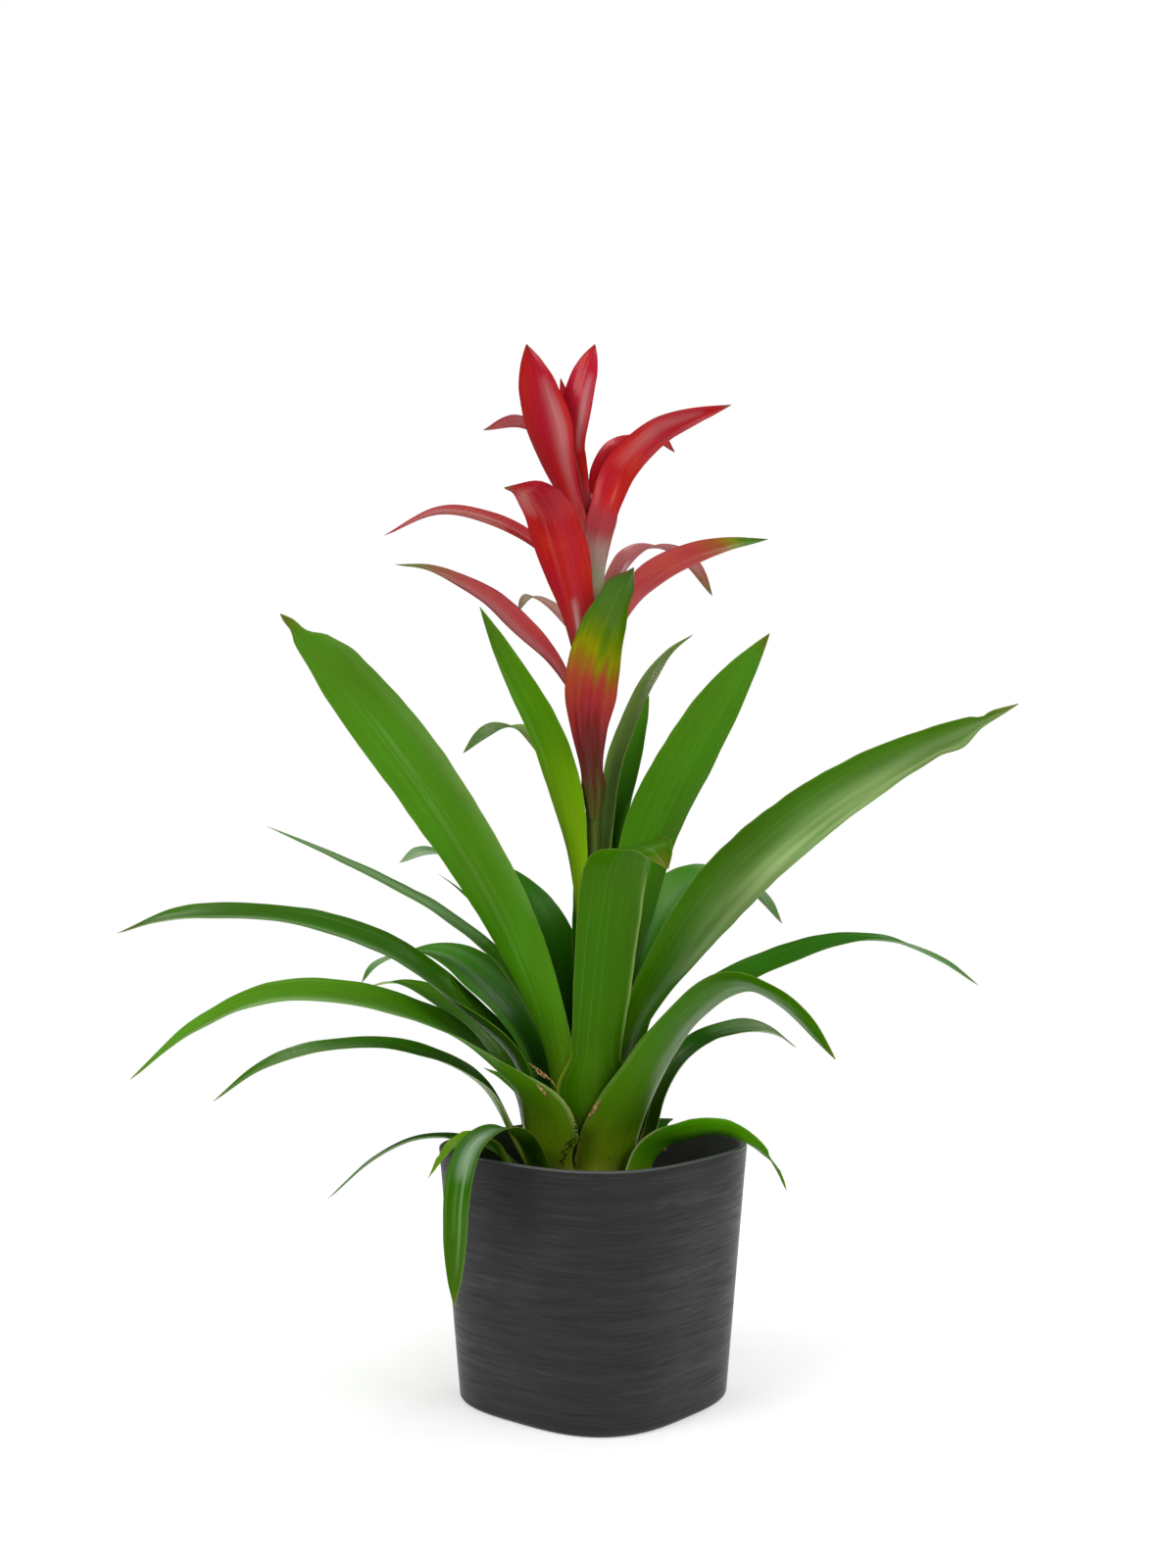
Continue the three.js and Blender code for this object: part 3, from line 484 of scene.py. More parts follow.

# In the entries below, turn is 0 at the plant's right and 90 at its back. cup is half the angle that a
# blade is rolled through at its foot, twist its tilt half way along and at the tip, belly where it is
# widest. path is the distance from the axis, the height and sometimes a swing, past the sheath. colours is
# for both faces, and flame is how unevenly they run.
# blooms, painted highlights that are partly a wax bloom: middle and reach across, start and end along,
# colour, depth.
# rims: side (0 is both), start, end, colour, depth.
# flares, where a blade is wider: start, end, side, share of the width.

# The rosette, from the innermost leaf to the outermost
rosette = {
    "firstRootRadius": 8.2, "rootStep": 0.9, "seatGap": 0.3, "sheathLength": 24, "sheathLean": 4,
    "sheathLeanStep": 1.2,
    "leaves": [
        dict(name="leaf_back_upright", turn=88, width=24, cup=26, belly=0.55, sheath=0.5, kind="darkLeaf",
             path=[(15, 175), (26, 220), (48, 262), (78, 286), (104, 292)]),
        dict(name="leaf_right_upright", turn=338, width=30, cup=20, belly=0.65, twist=(-45, -50),
             sheath=0.6, neck=0.7, colours=tallGreen,
             path=[(14, 175), (19, 220), (31, 275), (50, 312), (69, 342), (89, 368)]),
        dict(name="leaf_back_left", turn=128, width=30, twist=(0, 20), sheath=0.8, lean=9,
             kind="darkLeaf", bloomsAndHighlights=[(0, 1.2, 0.65, 1.1, "a8cc98", 0.7)],
             path=[(17, 170), (26, 203), (49, 235), (89, 256), (127, 264), (157, 265), (180, 259)]),
        dict(name="leaf_right_tall", turn=334, width=32, cup=14, belly=0.52, twist=(-50, -30),
             bloomsAndHighlights=[(0.6, 0.7, 0.3, 1, "a4c27c", 0.7)],
             flares=[(0.86, 0.945, 1, 0.6), (0.93, 0.965, -1, -0.5)],
             path=[(25, 182), (45, 216), (72, 250), (106, 279), (141, 301), (173, 316), (206, 330)]),
        dict(name="leaf_left_wisp", turn=146, width=6, cup=26, belly=0.4, sheath=1, neck=0.9,
             kind="darkLeaf",
             path=[(24, 180), (36, 201), (55, 224), (74, 239), (87, 248), (98, 254)]),
        dict(name="leaf_left_high", turn=158, width=14, cup=26, belly=0.35, twist=(-10, -10),
             bloomsAndHighlights=[(0, 1, 0.45, 1.1, "a0c890", 0.55)],
             path=[(26, 173), (47, 207), (75, 229), (102, 244), (143, 262), (187, 279)]),
        dict(name="leaf_back_right", turn=50, width=38, cup=26, belly=0.5, twist=(10, 20),
             upper=vividGreen,
             bloomsAndHighlights=[(-0.5, 0.25, 0.2, 0.9, "8ca884", 0.3), (0.2, 0.2, 0.3, 1, "8ca884", 0.25)],
             path=[(27, 177), (46, 218), (71, 243), (106, 252), (139, 243), (166, 225)]),
        dict(name="leaf_left_tall", turn=214, width=30, cup=14, belly=0.72, twist=(50, 55), neck=0.8,
             colours=tallGreen, bloomsAndHighlights=[(1, 0.3, 0.4, 1, "9cc070", 0.4)],
             flares=[(0.93, 0.99, 1, -0.5), (0.955, 0.995, -1, -0.35), (0.86, 0.93, 1, 0.12)],
             path=[(23, 168), (33, 199), (53, 240), (82, 282), (114, 321), (144, 352), (165, 369)]),
        dict(name="leaf_back_arching", turn=78, width=30, belly=0.5, kind="darkLeaf",
             path=[(34, 188), (62, 224), (100, 236), (136, 226), (160, 204)]),
        dict(name="leaf_front_centre", turn=278, width=32, cup=22, belly=0.77, twist=(0, 20), sheath=1.25,
             neck=0.78, worn=0.5, dryTip=0.1,
             rims=[(-1, 0.1, 0.3, "b4c83c", 0.8), (1, 0.18, 0.32, "c8cc50", 0.8),
                   (1, 0.3, 0.75, "b4d078", 0.6)], flares=[(0.1, 0.3, -1, 0.85), (0.2, 0.28, 1, 0.3)],
             path=[(26, 167, -5), (33, 187, -3), (50, 230, 0), (61, 251, 1), (70, 262, 2), (81, 267, 3),
                   (92, 268, 5), (100, 266.5, 8), (103, 258, 10)]),
        dict(name="leaf_left_back", turn=150, width=38, twist=(-7, -3), kind="darkLeaf",
             colours=vividGreen,
             bloomsAndHighlights=[(0.2, 0.2, 0.4, 0.9, "98bc88", 0.3), (-0.5, 0.15, 0.3, 0.8, "98bc88", 0.25)],
             flares=[(0.1, 0.9, 1, 0.3)],
             path=[(36, 170), (55, 193), (82, 211), (103, 214), (125, 209), (135, 204), (142, 196)]),
        dict(name="leaf_right_long", turn=20, width=30, belly=0.35, twist=(10, 0), sheath=1,
             kind="darkLeaf",
             path=[(36, 167), (59, 191), (92, 207), (132, 219), (166, 219), (196, 208), (219, 194)]),
        dict(name="leaf_front_right", turn=328, width=34, belly=0.4, twist=(-8, -55), sheath=1.02,
             neck=0.93, swing=-37, worn=0.9,
             colours=[(0, "b8b44a"), (0.07, "7e9c14"), (0.2, "4e8004"), (0.5, "386e00"), (0.95, "407600"),
                      (1, "747828")],
             rims=[(1, 0.02, 0.8, "dfe6bc", 0.9), (-1, 0.01, 0.16, "b8b050", 0.6)],
             path=[(36, 159, -13), (53, 187), (77, 203), (98, 198), (114, 187), (128, 172)]),
        dict(name="leaf_left_long", turn=182, width=34, cup=22, belly=0.4, twist=(-13, -15),
             bloomsAndHighlights=[(0.7, 0.3, 0.4, 1, "a0c488", 0.6)],
             flares=[(0.06, 0.5, 1, 0.85), (0.05, 0.5, -1, 0.2), (0.72, 1.05, 1, 0.9),
                     (0.72, 1.05, -1, 0.5)],
             path=[(40, 165), (65, 191), (99, 217), (142, 232), (180, 235.5), (209, 233), (231, 226)]),
        dict(name="leaf_back_low", turn=104, width=28, kind="darkLeaf",
             path=[(44, 170), (78, 190), (112, 186), (140, 166)]),
        dict(name="leaf_right_dark", turn=24, width=26, cup=26, belly=0.4, twist=(0, 20), kind="darkLeaf",
             upper=[(0, "a8a838"), (0.2, "8ab02c"), (0.38, "6ca420"), (0.55, "3f8c14"), (1, "5c6c28")],
             lower=[(0, "d2d480"), (0.2, "b4c04a"), (0.38, "86a428"), (0.55, "3a7000"), (1, "5c6c28")],
             bloomsAndHighlights=[(0, 0.8, 0.62, 1.05, "b4d8a0", 0.75)], rims=[(0, 0.02, 0.6, "dfe6bc", 0.9)],
             flares=[(0.62, 1.02, -1, 0.8), (0.66, 1.02, 1, 0.5), (0.55, 0.68, -1, -0.4)],
             path=[(36, 145), (48, 162), (65, 172), (84, 175), (102, 172), (115, 164)]),
        dict(name="leaf_front_left", turn=200, width=36, cup=22, belly=0.34, twist=(-17, -3), sheath=0.98,
             neck=1, swing=13, worn=0.9,
             colours=[(0, "b8b44a"), (0.07, "7e9c14"), (0.2, "4e8404"), (0.4, "407e04"), (0.65, "549410"),
                      (0.95, "68ac24"), (1, "748c28")], bloomsAndHighlights=[(0.75, 0.3, 0.3, 0.95, "a8c888", 0.6)],
             rims=[(1, 0.12, 0.24, "ccd284", 0.6)],
             flares=[(0.03, 0.22, 1, 0.42), (0.22, 0.9, 1, 0.4), (0.15, 0.5, -1, 0.25)],
             path=[(38, 145, 17), (53, 163, 6), (77, 182), (120, 198), (160, 199), (193, 185), (220, 164)]),
        dict(name="leaf_back_spread", turn=80, width=28, kind="darkLeaf",
             path=[(52, 152), (86, 166), (118, 160), (142, 142)]),
        dict(name="leaf_left_bright", turn=152, width=24, belly=0.5, kind="yellowLeaf",
             colours=brightGreen, flares=[(0.6, 1, 0, 0.4)],
             path=[(42, 148), (68, 175), (97, 192), (116, 197), (132, 195)]),
        dict(name="leaf_low_back_right", turn=50, width=18, lean=40,
             path=[(52, 126), (64, 127)]),
        dict(name="leaf_left_low", turn=184, width=26, belly=0.35, twist=(-6, -13),
             upper=[(0, "a8a838"), (0.12, "6a9410"), (0.3, "468a00"), (0.95, "4a8a00"), (1, "6c7020")],
             lower=[(0, "d2d480"), (0.12, "b0bc40"), (0.24, "6a9410"), (0.36, "3c7c04"), (0.95, "4c8c14"),
                    (1, "747828")], bloomsAndHighlights=[(0.3, 0.5, 0.55, 1, "b0d090", 0.6)],
             rims=[(0, 0.02, 0.35, "dfe6b0", 0.8)],
             flares=[(0.4, 0.68, 1, -0.35), (0.12, 0.4, 1, 0.3), (0.66, 0.98, -1, 0.3)],
             path=[(55, 152), (84, 167.5), (112, 171.5), (141, 168), (164, 159.5), (184, 145)]),
        dict(name="leaf_low_right", turn=345, width=20, cup=20, twist=(-34, -25), lean=20, swing=-30,
             upper=[(0, "a8a838"), (0.1, "709c0c"), (0.25, "529c04"), (0.95, "529800"), (1, "6c7020")],
             lower=[(0, "b0ac3c"), (0.1, "74a010"), (0.25, "56a004"), (0.95, "569c00"), (1, "747828")],
             rims=[(-1, 0.05, 0.34, "e0dca0", 0.85)],
             flares=[(0.8, 0.91, 0, -0.75), (0.91, 1.02, 0, 0.4)],
             path=[(41, 128, -23), (49, 131.5, -14), (58, 133, -6), (67, 131.8), (78, 127), (88, 118),
                   (95, 104)]),
        dict(name="leaf_left_tiny", turn=142, width=10, cup=26, lean=34, colours=brightGreen,
             path=[(44, 139), (57, 149), (72, 154)]),
        dict(name="leaf_low_left_thin", turn=172, width=14, belly=0.4, lean=42,
             path=[(58, 121), (74, 124), (91, 122), (111, 112), (135, 91)]),
        dict(name="leaf_over_rim", turn=226, width=18, cup=20, belly=0.6, twist=(0, -10), lean=24,
             bloomsAndHighlights=[(0.3, 0.1, 0.5, 0.9, "a4cc80", 0.5), (-0.2, 0.06, 0.5, 0.8, "a4cc80", 0.4),
                     (0.1, 0.5, 0.38, 0.62, "c8dcc0", 0.5)],
             path=[(48, 131), (59, 137), (71, 136), (82, 129), (88, 112), (90, 88), (91, 60)]),
        dict(name="leaf_low_left_torn", turn=205, width=11, cup=20, belly=0.6, lean=36, torn=0.8,
             colours=brightGreen, flares=[(0.3, 1, 0, 0.5)],
             path=[(54, 127), (64, 130), (74, 126), (81, 119), (86, 112)]),
    ],
}

# Leaves and bracts of the flower stalk, from the lowest to the highest. root is the height of their foot.
stalk = {
    "sheathLength": 13, "sheathLean": 12, "sheathGap": 0.5,
    "blades": [
        dict(name="stalk_leaf_left", turn=203, root=205, width=18, cup=26, twist=(50, 55),
             kind="yellowLeaf",
             path=[(8.5, 240), (11, 272), (19.5, 308), (28, 328), (42, 352), (59, 382)]),
        dict(name="stalk_leaf_back", turn=50, root=216, width=18, twist=(30, 30), kind="darkLeaf",
             colours=[(0, "8a8f34"), (0.15, "6a9c2c"), (0.3, "5a9c24"), (0.95, "529420"), (1, "50641a")],
             path=[(10, 252), (14, 284), (22, 304), (32, 324), (44, 345)]),
        dict(name="stalk_leaf_right", turn=38, root=234, width=15, cup=46, kind="darkLeaf",
             colours=paleGreenWithSheen,
             path=[(10, 275), (14, 306), (21, 324), (35, 350), (50, 367), (65, 377)]),
        dict(name="stalk_leaf_back_left", turn=140, root=250, width=23, kind="darkLeaf",
             colours=paleGreenWithSheen,
             path=[(13, 280), (24, 307), (44, 326), (66, 329), (89, 317)]),
        dict(name="bract_front_low", turn=272, root=281, width=27, cup=34, neck=0.42, wrap=56,
             slot="greenish_bract", flame=0.1,
             colours=[(0, "5a6420"), (0.1, "565018"), (0.2, "6a2a1c"), (0.3, "7e2420"), (0.42, "b43434"),
                      (0.52, "c04a34"), (0.58, "a8741c"), (0.64, "9a9c00"), (0.7, "6e8e00"),
                      (0.78, "4a7c00"), (0.95, "3c7400"), (1, "4a5a10")], flares=[(0.84, 1.02, 0, 0.5)],
             path=[(10, 304, -8), (17, 325, -11), (22, 347, -5), (27, 371, 8), (35, 388, 18),
                   (44, 398, 23)]),
        dict(name="bract_left_low", turn=198, root=322, width=18, belly=0.45, twist=(20, 0), flame=0.05,
             colours=[(0, "98a05a"), (0.08, "b08070"), (0.2, "d05458"), (0.35, "dc4a50"), (0.7, "d85458"),
                      (0.84, "b86848"), (0.9, "8a8a30"), (1, "5a8424")],
             path=[(15, 349), (23, 360), (37, 373), (52, 386), (67, 394), (83, 400), (99, 401)]),
        dict(name="bract_front_high", turn=228, root=336, width=31, belly=0.6, twist=(10, 10), neck=0.5,
             colours=[(0, "5e6a2c"), (0.12, "5e5a2c"), (0.2, "7e4234"), (0.28, "b83a3c"),
                      (0.36, "cc2a30"), (0.45, "d8222a"), (0.96, "d02028"), (1, "8c7a20")],
             bloomsAndHighlights=[(0.15, 0.12, 0.14, 0.42, "f4d8d0", 0.75), (-0.5, 0.3, 0.75, 1, "ec9890", 0.4)],
             path=[(11, 366), (15, 382), (21, 397), (28, 413), (35, 427), (46, 435), (62, 434)]),
        dict(name="bract_right_low", turn=330, root=345, width=16, cup=28, twist=(-30, -20), flame=0.05,
             colours=[(0, "98a05a"), (0.08, "b08d74"), (0.2, "d05c60"), (0.35, "de4a50"), (0.7, "d84c4c"),
                      (0.8, "c06838"), (0.86, "a0a028"), (0.91, "5f9622"), (1, "4a7d20")],
             path=[(18, 384), (31, 397), (50, 405), (70, 409), (93, 410)]),
        dict(name="bract_back_left", turn=142, root=352, width=15, kind="pinkBract", flame=0.05,
             colours=[(0, "a8b060"), (0.15, "dcb4a0"), (0.5, "e4a8a0"), (0.9, "d0b898"), (1, "90a070")],
             path=[(20, 382), (32, 391), (42, 394), (49, 387)]),
        dict(name="bract_back_right", turn=30, root=364, width=21, twist=(10, 0), kind="pinkBract",
             path=[(15, 403), (28, 416), (45, 417), (58, 410), (70, 396)]),
        dict(name="bract_left_middle", turn=187, root=373, width=18, cup=28, belly=0.45, twist=(10, 0),
             bloomsAndHighlights=[(0, 0.7, 0.5, 0.95, "ecb4b0", 0.5)],
             path=[(15, 397), (28, 414), (50, 426), (75, 430), (102, 418)]),
        dict(name="bract_right_high", turn=326, root=384, width=17, cup=28, twist=(-35, -25), neck=0.76,
             swing=-56,
             colours=[(0, "a0a880"), (0.1, "bcc4a0"), (0.2, "d4b4a8"), (0.29, "d05058"), (0.42, "d8242c"),
                      (0.96, "d02028"), (1, "6c7a30")], bloomsAndHighlights=[(-0.3, 0.3, 0.5, 0.9, "ec9494", 0.45)],
             path=[(9, 412, -52), (13.5, 430, -36), (19, 449, -14), (36, 465), (55, 470), (77, 473)]),
        dict(name="bract_back_high", turn=82, root=389, width=18, sheath=0.4, kind="pinkBract",
             path=[(14, 418), (28, 436), (46, 442), (62, 434)]),
        dict(name="bract_right_arching", turn=36, root=395, width=22, sheath=0.4, neck=0.45,
             path=[(10, 440, 10), (12.5, 455, 10), (18, 468, 4), (27, 474), (39, 474), (51, 468)]),
        dict(name="bract_left_small", turn=156, root=400, width=17, twist=(25, 20), sheath=0.5,
             kind="pinkBract", dryTip=0.2, flame=0.05,
             colours=[(0, "c89090"), (0.3, "d86068"), (0.95, "d4565c"), (1, "8a6a3a")],
             path=[(15.5, 430), (20.5, 455), (29, 472), (42, 480), (61, 478)]),
        dict(name="bract_top_left", turn=212, root=406, width=31, cup=34, belly=0.62, twist=(10, 15),
             sheath=0.25, neck=0.38, bloomsAndHighlights=[(0.55, 0.22, 0.25, 0.85, "f4a4a4", 0.55)],
             flares=[(0.25, 0.85, -1, 0.25)],
             path=[(15, 437), (22, 452), (29, 472), (35, 492), (38, 508)]),
        dict(name="bract_top_back", turn=136, root=411, width=12, cup=34, belly=0.6, sheath=0.3,
             path=[(9, 448), (16, 476), (23, 502)]),
        dict(name="bract_top_right", turn=262, root=416, width=17, cup=34, belly=0.66, neck=0.5,
             swing=-30,
             bloomsAndHighlights=[(0.55, 0.22, 0.45, 0.85, "f8c0c0", 0.65), (0.2, 0.1, 0.2, 0.5, "f0b0b0", 0.5)],
             path=[(10, 442, -32), (16, 464, -33), (20, 484, -16), (17, 509, 10)]),
    ],
}

# The stem: the short crown that the leaves sit on and the flower stalk above it, grown as one. A scar stands
# out on the stalk at each leaf's foot. tip: radius and depth below the top of its last rings.
stem = {
    "foot": 84.3, "crownRadius": 32, "crownShoulder": 92.5, "crownTopRadius": 7.5, "crownTop": 118,
    "stalkFootRadius": 4, "stalkFoot": 123, "stalkTipRadius": 2.4, "stalkTip": 421,
    "sides": 40, "footRings": 6, "crownRings": 12, "rowHeight": 1.6, "scar": 0.25, "scarReach": 2.2,
    "tip": [(1.9, 1.2), (1.1, 0.3)],
    "finish": {
        "skin": ("6c7a28", "4f6a18"), "fibreTone": (0.8, 1.15), "roughness": (0.4, 0.55),
        "fibreScale": (900, 900, 30), "ringScale": (10, 10, 60), "fibreHeight": 0.1 * mm,  # fibres of 1.1 mm
        "sockets": {"IOR": 1.45, "Specular IOR Level": 0.4},
    },
}


def stalkRadius(height):
    share = (height - stem["stalkFoot"]) / (stem["stalkTip"] - stem["stalkTipRadius"] - stem["stalkFoot"])
    return stem["stalkFootRadius"] + (stem["stalkTipRadius"] - stem["stalkFootRadius"]) * share


# The two points that a blade's sheath runs between, from its root
def sheathPoints(reach, height, length, lean, swing):
    across, up = length * math.sin(math.radians(lean)), length * math.cos(math.radians(lean))
    return [(reach, height, swing), (reach + across, height + up, swing)]


sheets = {}  # the finished entries, for what lies on the blades


def addBlade(entry, shape, order, sheath):
    kind = entry.get("kind", "bract" if entry["name"].startswith("bract") else "leaf")
    blade = {**bladeShape, **shape, **bladeKinds[kind], **entry}
    if "colours" in entry:
        blade["upper"] = blade["lower"] = entry["colours"]
    blade["seed"] = order * blade["seedStep"] + blade["firstSeed"]
    blade["path"] = sheath + entry["path"]
    sheets[blade["name"]] = blade
    settle(bladePiece(blade), blade["slot"], blade["name"])


for order, leaf in enumerate(rosette["leaves"]):
    reach = rosette["firstRootRadius"] + rosette["rootStep"] * order
    slope = (stem["crownTop"] - stem["crownShoulder"]) / (stem["crownRadius"] - stem["crownTopRadius"])
    height = stem["crownTop"] - (reach - stem["crownTopRadius"]) * slope
    height += rosette["seatGap"] + bladeShape["thickness"]
    lean = leaf.get("lean", rosette["sheathLean"] + rosette["sheathLeanStep"] * order)
    sheath = sheathPoints(reach, height, rosette["sheathLength"], lean, leaf.get("swing", 0))
    addBlade(leaf, leafShape, order, sheath)
print("rosette grown:", len(rosette["leaves"]), "leaves")

for order, blade in enumerate(stalk["blades"]):
    root, swing = blade["root"], blade.get("swing", 0)
    reach = stalkRadius(root) + bladeShape["thickness"] / 2 + stalk["sheathGap"]
    sheath = sheathPoints(reach, root, stalk["sheathLength"], stalk["sheathLean"], swing)
    addBlade(blade, bractShape, order, sheath)
print("stalk dressed:", len(stalk["blades"]), "blades")


# Fleshy green stem, grown: long fibres under a waxy skin, paler rings where leaves were
def stemMaterial():
    look = stem["finish"]
    material, tree, shader = newMaterial("stemSkin")
    place = addNode(tree, "ShaderNodeTexCoord").outputs["Object"]
    fibrePlace = addNode(tree, "ShaderNodeMapping", {"Vector": place, "Scale": look["fibreScale"]})
    fibre = addNode(tree, "ShaderNodeTexNoise", {"Vector": fibrePlace, "Scale": 1, "Detail": 3})
    ringPlace = addNode(tree, "ShaderNodeMapping", {"Vector": place, "Scale": look["ringScale"]})
    ring = addNode(tree, "ShaderNodeTexNoise", {"Vector": ringPlace, "Scale": 1, "Detail": 1})
    ringed = addNode(tree, "ShaderNodeMixRGB", (ring, *map(hexColour, look["skin"])))
    tone = addNode(tree, "ShaderNodeMapRange", (fibre, *noiseBand, *look["fibreTone"]))
    toned = addNode(tree, "ShaderNodeHueSaturation", {"Value": tone, "Color": ringed})
    rough = addNode(tree, "ShaderNodeMapRange", (fibre, *noiseBand, *look["roughness"]))
    bump = addNode(tree, "ShaderNodeBump", {
        "Strength": 1, "Distance": look["fibreHeight"], "Height": fibre})
    setInputs(tree, shader, {"Base Color": toned, "Roughness": rough, "Normal": bump, **look["sockets"]})
    return material


def stemPiece():
    roots = [blade["root"] for blade in stalk["blades"]]
    shoulder = (stem["crownRadius"], stem["crownShoulder"])
    crownTop = (stem["crownTopRadius"], stem["crownTop"])
    flat, cone = stem["footRings"], stem["crownRings"]
    profile = [(stem["crownRadius"] * k / flat, stem["foot"]) for k in range(1, flat + 1)]
    profile += [blend(shoulder, crownTop, k / cone) for k in range(cone + 1)]
    profile.append((stem["stalkFootRadius"], stem["stalkFoot"]))
    height = stem["stalkFoot"]
    while height < stem["stalkTip"] - stem["stalkTipRadius"] - 2:
        height += stem["rowHeight"]
        swell = sum(math.exp(-((height - root) / stem["scarReach"]) ** 2) for root in roots) * stem["scar"]
        profile.append((stalkRadius(height) + swell, height))
    profile += [(radius, stem["stalkTip"] - depth) for radius, depth in stem["tip"]]
    rings = [circle(radius, height, stem["sides"]) for radius, height in profile]
    piece = pieceFromRings("stem_grown", rings, (stem["foot"], stem["stalkTip"]), stemMaterial())
    piece.data.set_sharp_from_angle(angle=math.radians(60))
    return piece


settle(stemPiece(), "stem", "stem")
print("stem made")


# A new geometry tree with its inputs: a shape to start from, whole numbers or decimals, and a material
def newTree(name, sizes):
    tree = bpy.data.node_groups.new(name, "GeometryNodeTree")
    tree.interface.new_socket(name="Shape", in_out="INPUT", socket_type="NodeSocketGeometry")
    for key, value in sizes.items():
        kind = "NodeSocketInt" if isinstance(value, int) else "NodeSocketFloat"
        tree.interface.new_socket(name=key, in_out="INPUT", socket_type=kind)
    tree.interface.new_socket(name="Finish", in_out="INPUT", socket_type="NodeSocketMaterial")
    tree.interface.new_socket(name="Shape", in_out="OUTPUT", socket_type="NodeSocketGeometry")
    return tree, addNode(tree, "NodeGroupInput").outputs, addNode(tree, "NodeGroupOutput")


# Ends a tree with plain faces and a material
def endTree(tree, given, end, shape):
    plain = addNode(tree, "GeometryNodeRealizeInstances", {0: shape})
    smooth = addNode(tree, "GeometryNodeSetShadeSmooth", {0: plain})
    finished = addNode(tree, "GeometryNodeSetMaterial", {"Geometry": smooth, "Material": given["Finish"]})
    tree.links.new(finished.outputs[0], end.inputs[0])


# How thick a long thing is at a share of its length: pointed at both ends, full between them
def pointedBody(tree, share, least):
    halfTurn = addNode(tree, "ShaderNodeMath", (share, math.pi), operation="MULTIPLY")
    wave = addNode(tree, "ShaderNodeMath", {0: halfTurn}, operation="SINE")
    full = addNode(tree, "ShaderNodeMath", (wave, 0.6), operation="POWER")
    return addNode(tree, "ShaderNodeMath", (full, 1 - least, least), operation="MULTIPLY_ADD")


# Where a heading points to at a reach, level
def levelSpot(tree, reach, heading):
    spot = []
    for wave in ("COSINE", "SINE"):
        share = addNode(tree, "ShaderNodeMath", {0: heading}, operation=wave)
        spot.append(addNode(tree, "ShaderNodeMath", (reach, share), operation="MULTIPLY"))
    return spot


# Runs a tree on a mesh, or on nothing, and keeps its result as a plain piece
def grownBy(name, tree, sizes, material, start=None):
    source = start or bpy.data.meshes.new(name + "Start")
    holder = bpy.data.objects.new(name + "Holder", source)
    bpy.context.scene.collection.objects.link(holder)
    modifier = holder.modifiers.new("tree", "NODES")
    modifier.node_group = tree
    values = {**sizes, "Finish": material}
    for item in tree.interface.items_tree:
        if item.in_out == "INPUT" and item.name in values:
            modifier[item.identifier] = values[item.name]
    graph = bpy.context.evaluated_depsgraph_get()
    mesh = bpy.data.meshes.new_from_object(holder.evaluated_get(graph), depsgraph=graph)
    mesh.name = name
    bpy.data.objects.remove(holder)
    piece = bpy.data.objects.new(name, mesh)
    bpy.context.scene.collection.objects.link(piece)
    if signedVolume(mesh) < 0:
        mesh.flip_normals()
    return piece


def signedVolume(mesh):
    mesh.calc_loop_triangles()
    total = 0
    for triangle in mesh.loop_triangles:
        a, b, c = (mesh.vertices[k].co for k in triangle.vertices)
        total += a.dot(b.cross(c))
    return total


# Lines over blades, as a mesh of edges: each spot is the share along the blade, the share across it, and its
# height in millimetres over the middle sheet
def bladeLines(name, lines):
    points, edges, widths = [], [], []
    for blade, width, spots in lines:
        ring, place = bladeSheet(sheets[blade])[1:]
        for k, (s, a, lift) in enumerate(spots):
            if k:
                edges.append((len(points) - 1, len(points)))
            points.append(place(ring(s), s, a, lift))
            widths.append(width * mm)
    mesh = bpy.data.meshes.new(name)
    mesh.from_pydata(points, edges, [])
    mesh.attributes.new("wide", "FLOAT", "POINT").data.foreach_set("value", widths)
    return mesh


fibres = {
    "shape": {"steps": 16, "sides": 8, "flatness": 0.3, "unevenness": 0.35 * mm, "seed": 3},
    "finish": {
        "colours": ("6e4c22", "d2b06c"), "scale": 700, "spread": (0.35, 0.65),  # flecks of 1.4 mm
        "relief": 0.15 * mm, "sockets": {"Roughness": 0.85, "Specular IOR Level": 0.2},
    },
}


# Flat fibres along the lines of a mesh, pointed at both ends
def fibreTree():
    tree, given, end = newTree("driedFibres", fibres["shape"])
    lines = addNode(tree, "GeometryNodeMeshToCurve", {0: given["Shape"]})
    steps = addNode(tree, "GeometryNodeResampleCurve", {"Curve": lines, "Count": given["steps"]})
    bent = addNode(tree, "FunctionNodeRandomValue", {
        "Min": (-1, -1, -1), "Max": (1, 1, 1), "Seed": given["seed"]}, data_type="FLOAT_VECTOR")
    offset = addNode(tree, "ShaderNodeVectorMath", {
        0: bent, "Scale": given["unevenness"]}, operation="SCALE")
    frayed = addNode(tree, "GeometryNodeSetPosition", {"Geometry": steps, "Offset": offset})
    thick = pointedBody(tree, addNode(tree, "GeometryNodeSplineParameter"), 0.05)
    wide = addNode(tree, "GeometryNodeInputNamedAttribute", {"Name": "wide"}, data_type="FLOAT")
    scale = addNode(tree, "ShaderNodeMath", (thick, wide), operation="MULTIPLY")
    ring = addNode(tree, "GeometryNodeCurvePrimitiveCircle", {"Resolution": given["sides"], "Radius": 0.5})
    squash = addNode(tree, "ShaderNodeCombineXYZ", (given["flatness"], 1, 1))
    flat = addNode(tree, "GeometryNodeTransform", {"Geometry": ring, "Scale": squash})
    strips = addNode(tree, "GeometryNodeCurveToMesh", {
        "Curve": frayed, "Profile Curve": flat, "Scale": scale, "Fill Caps": True})
    endTree(tree, given, end, strips)
    return tree


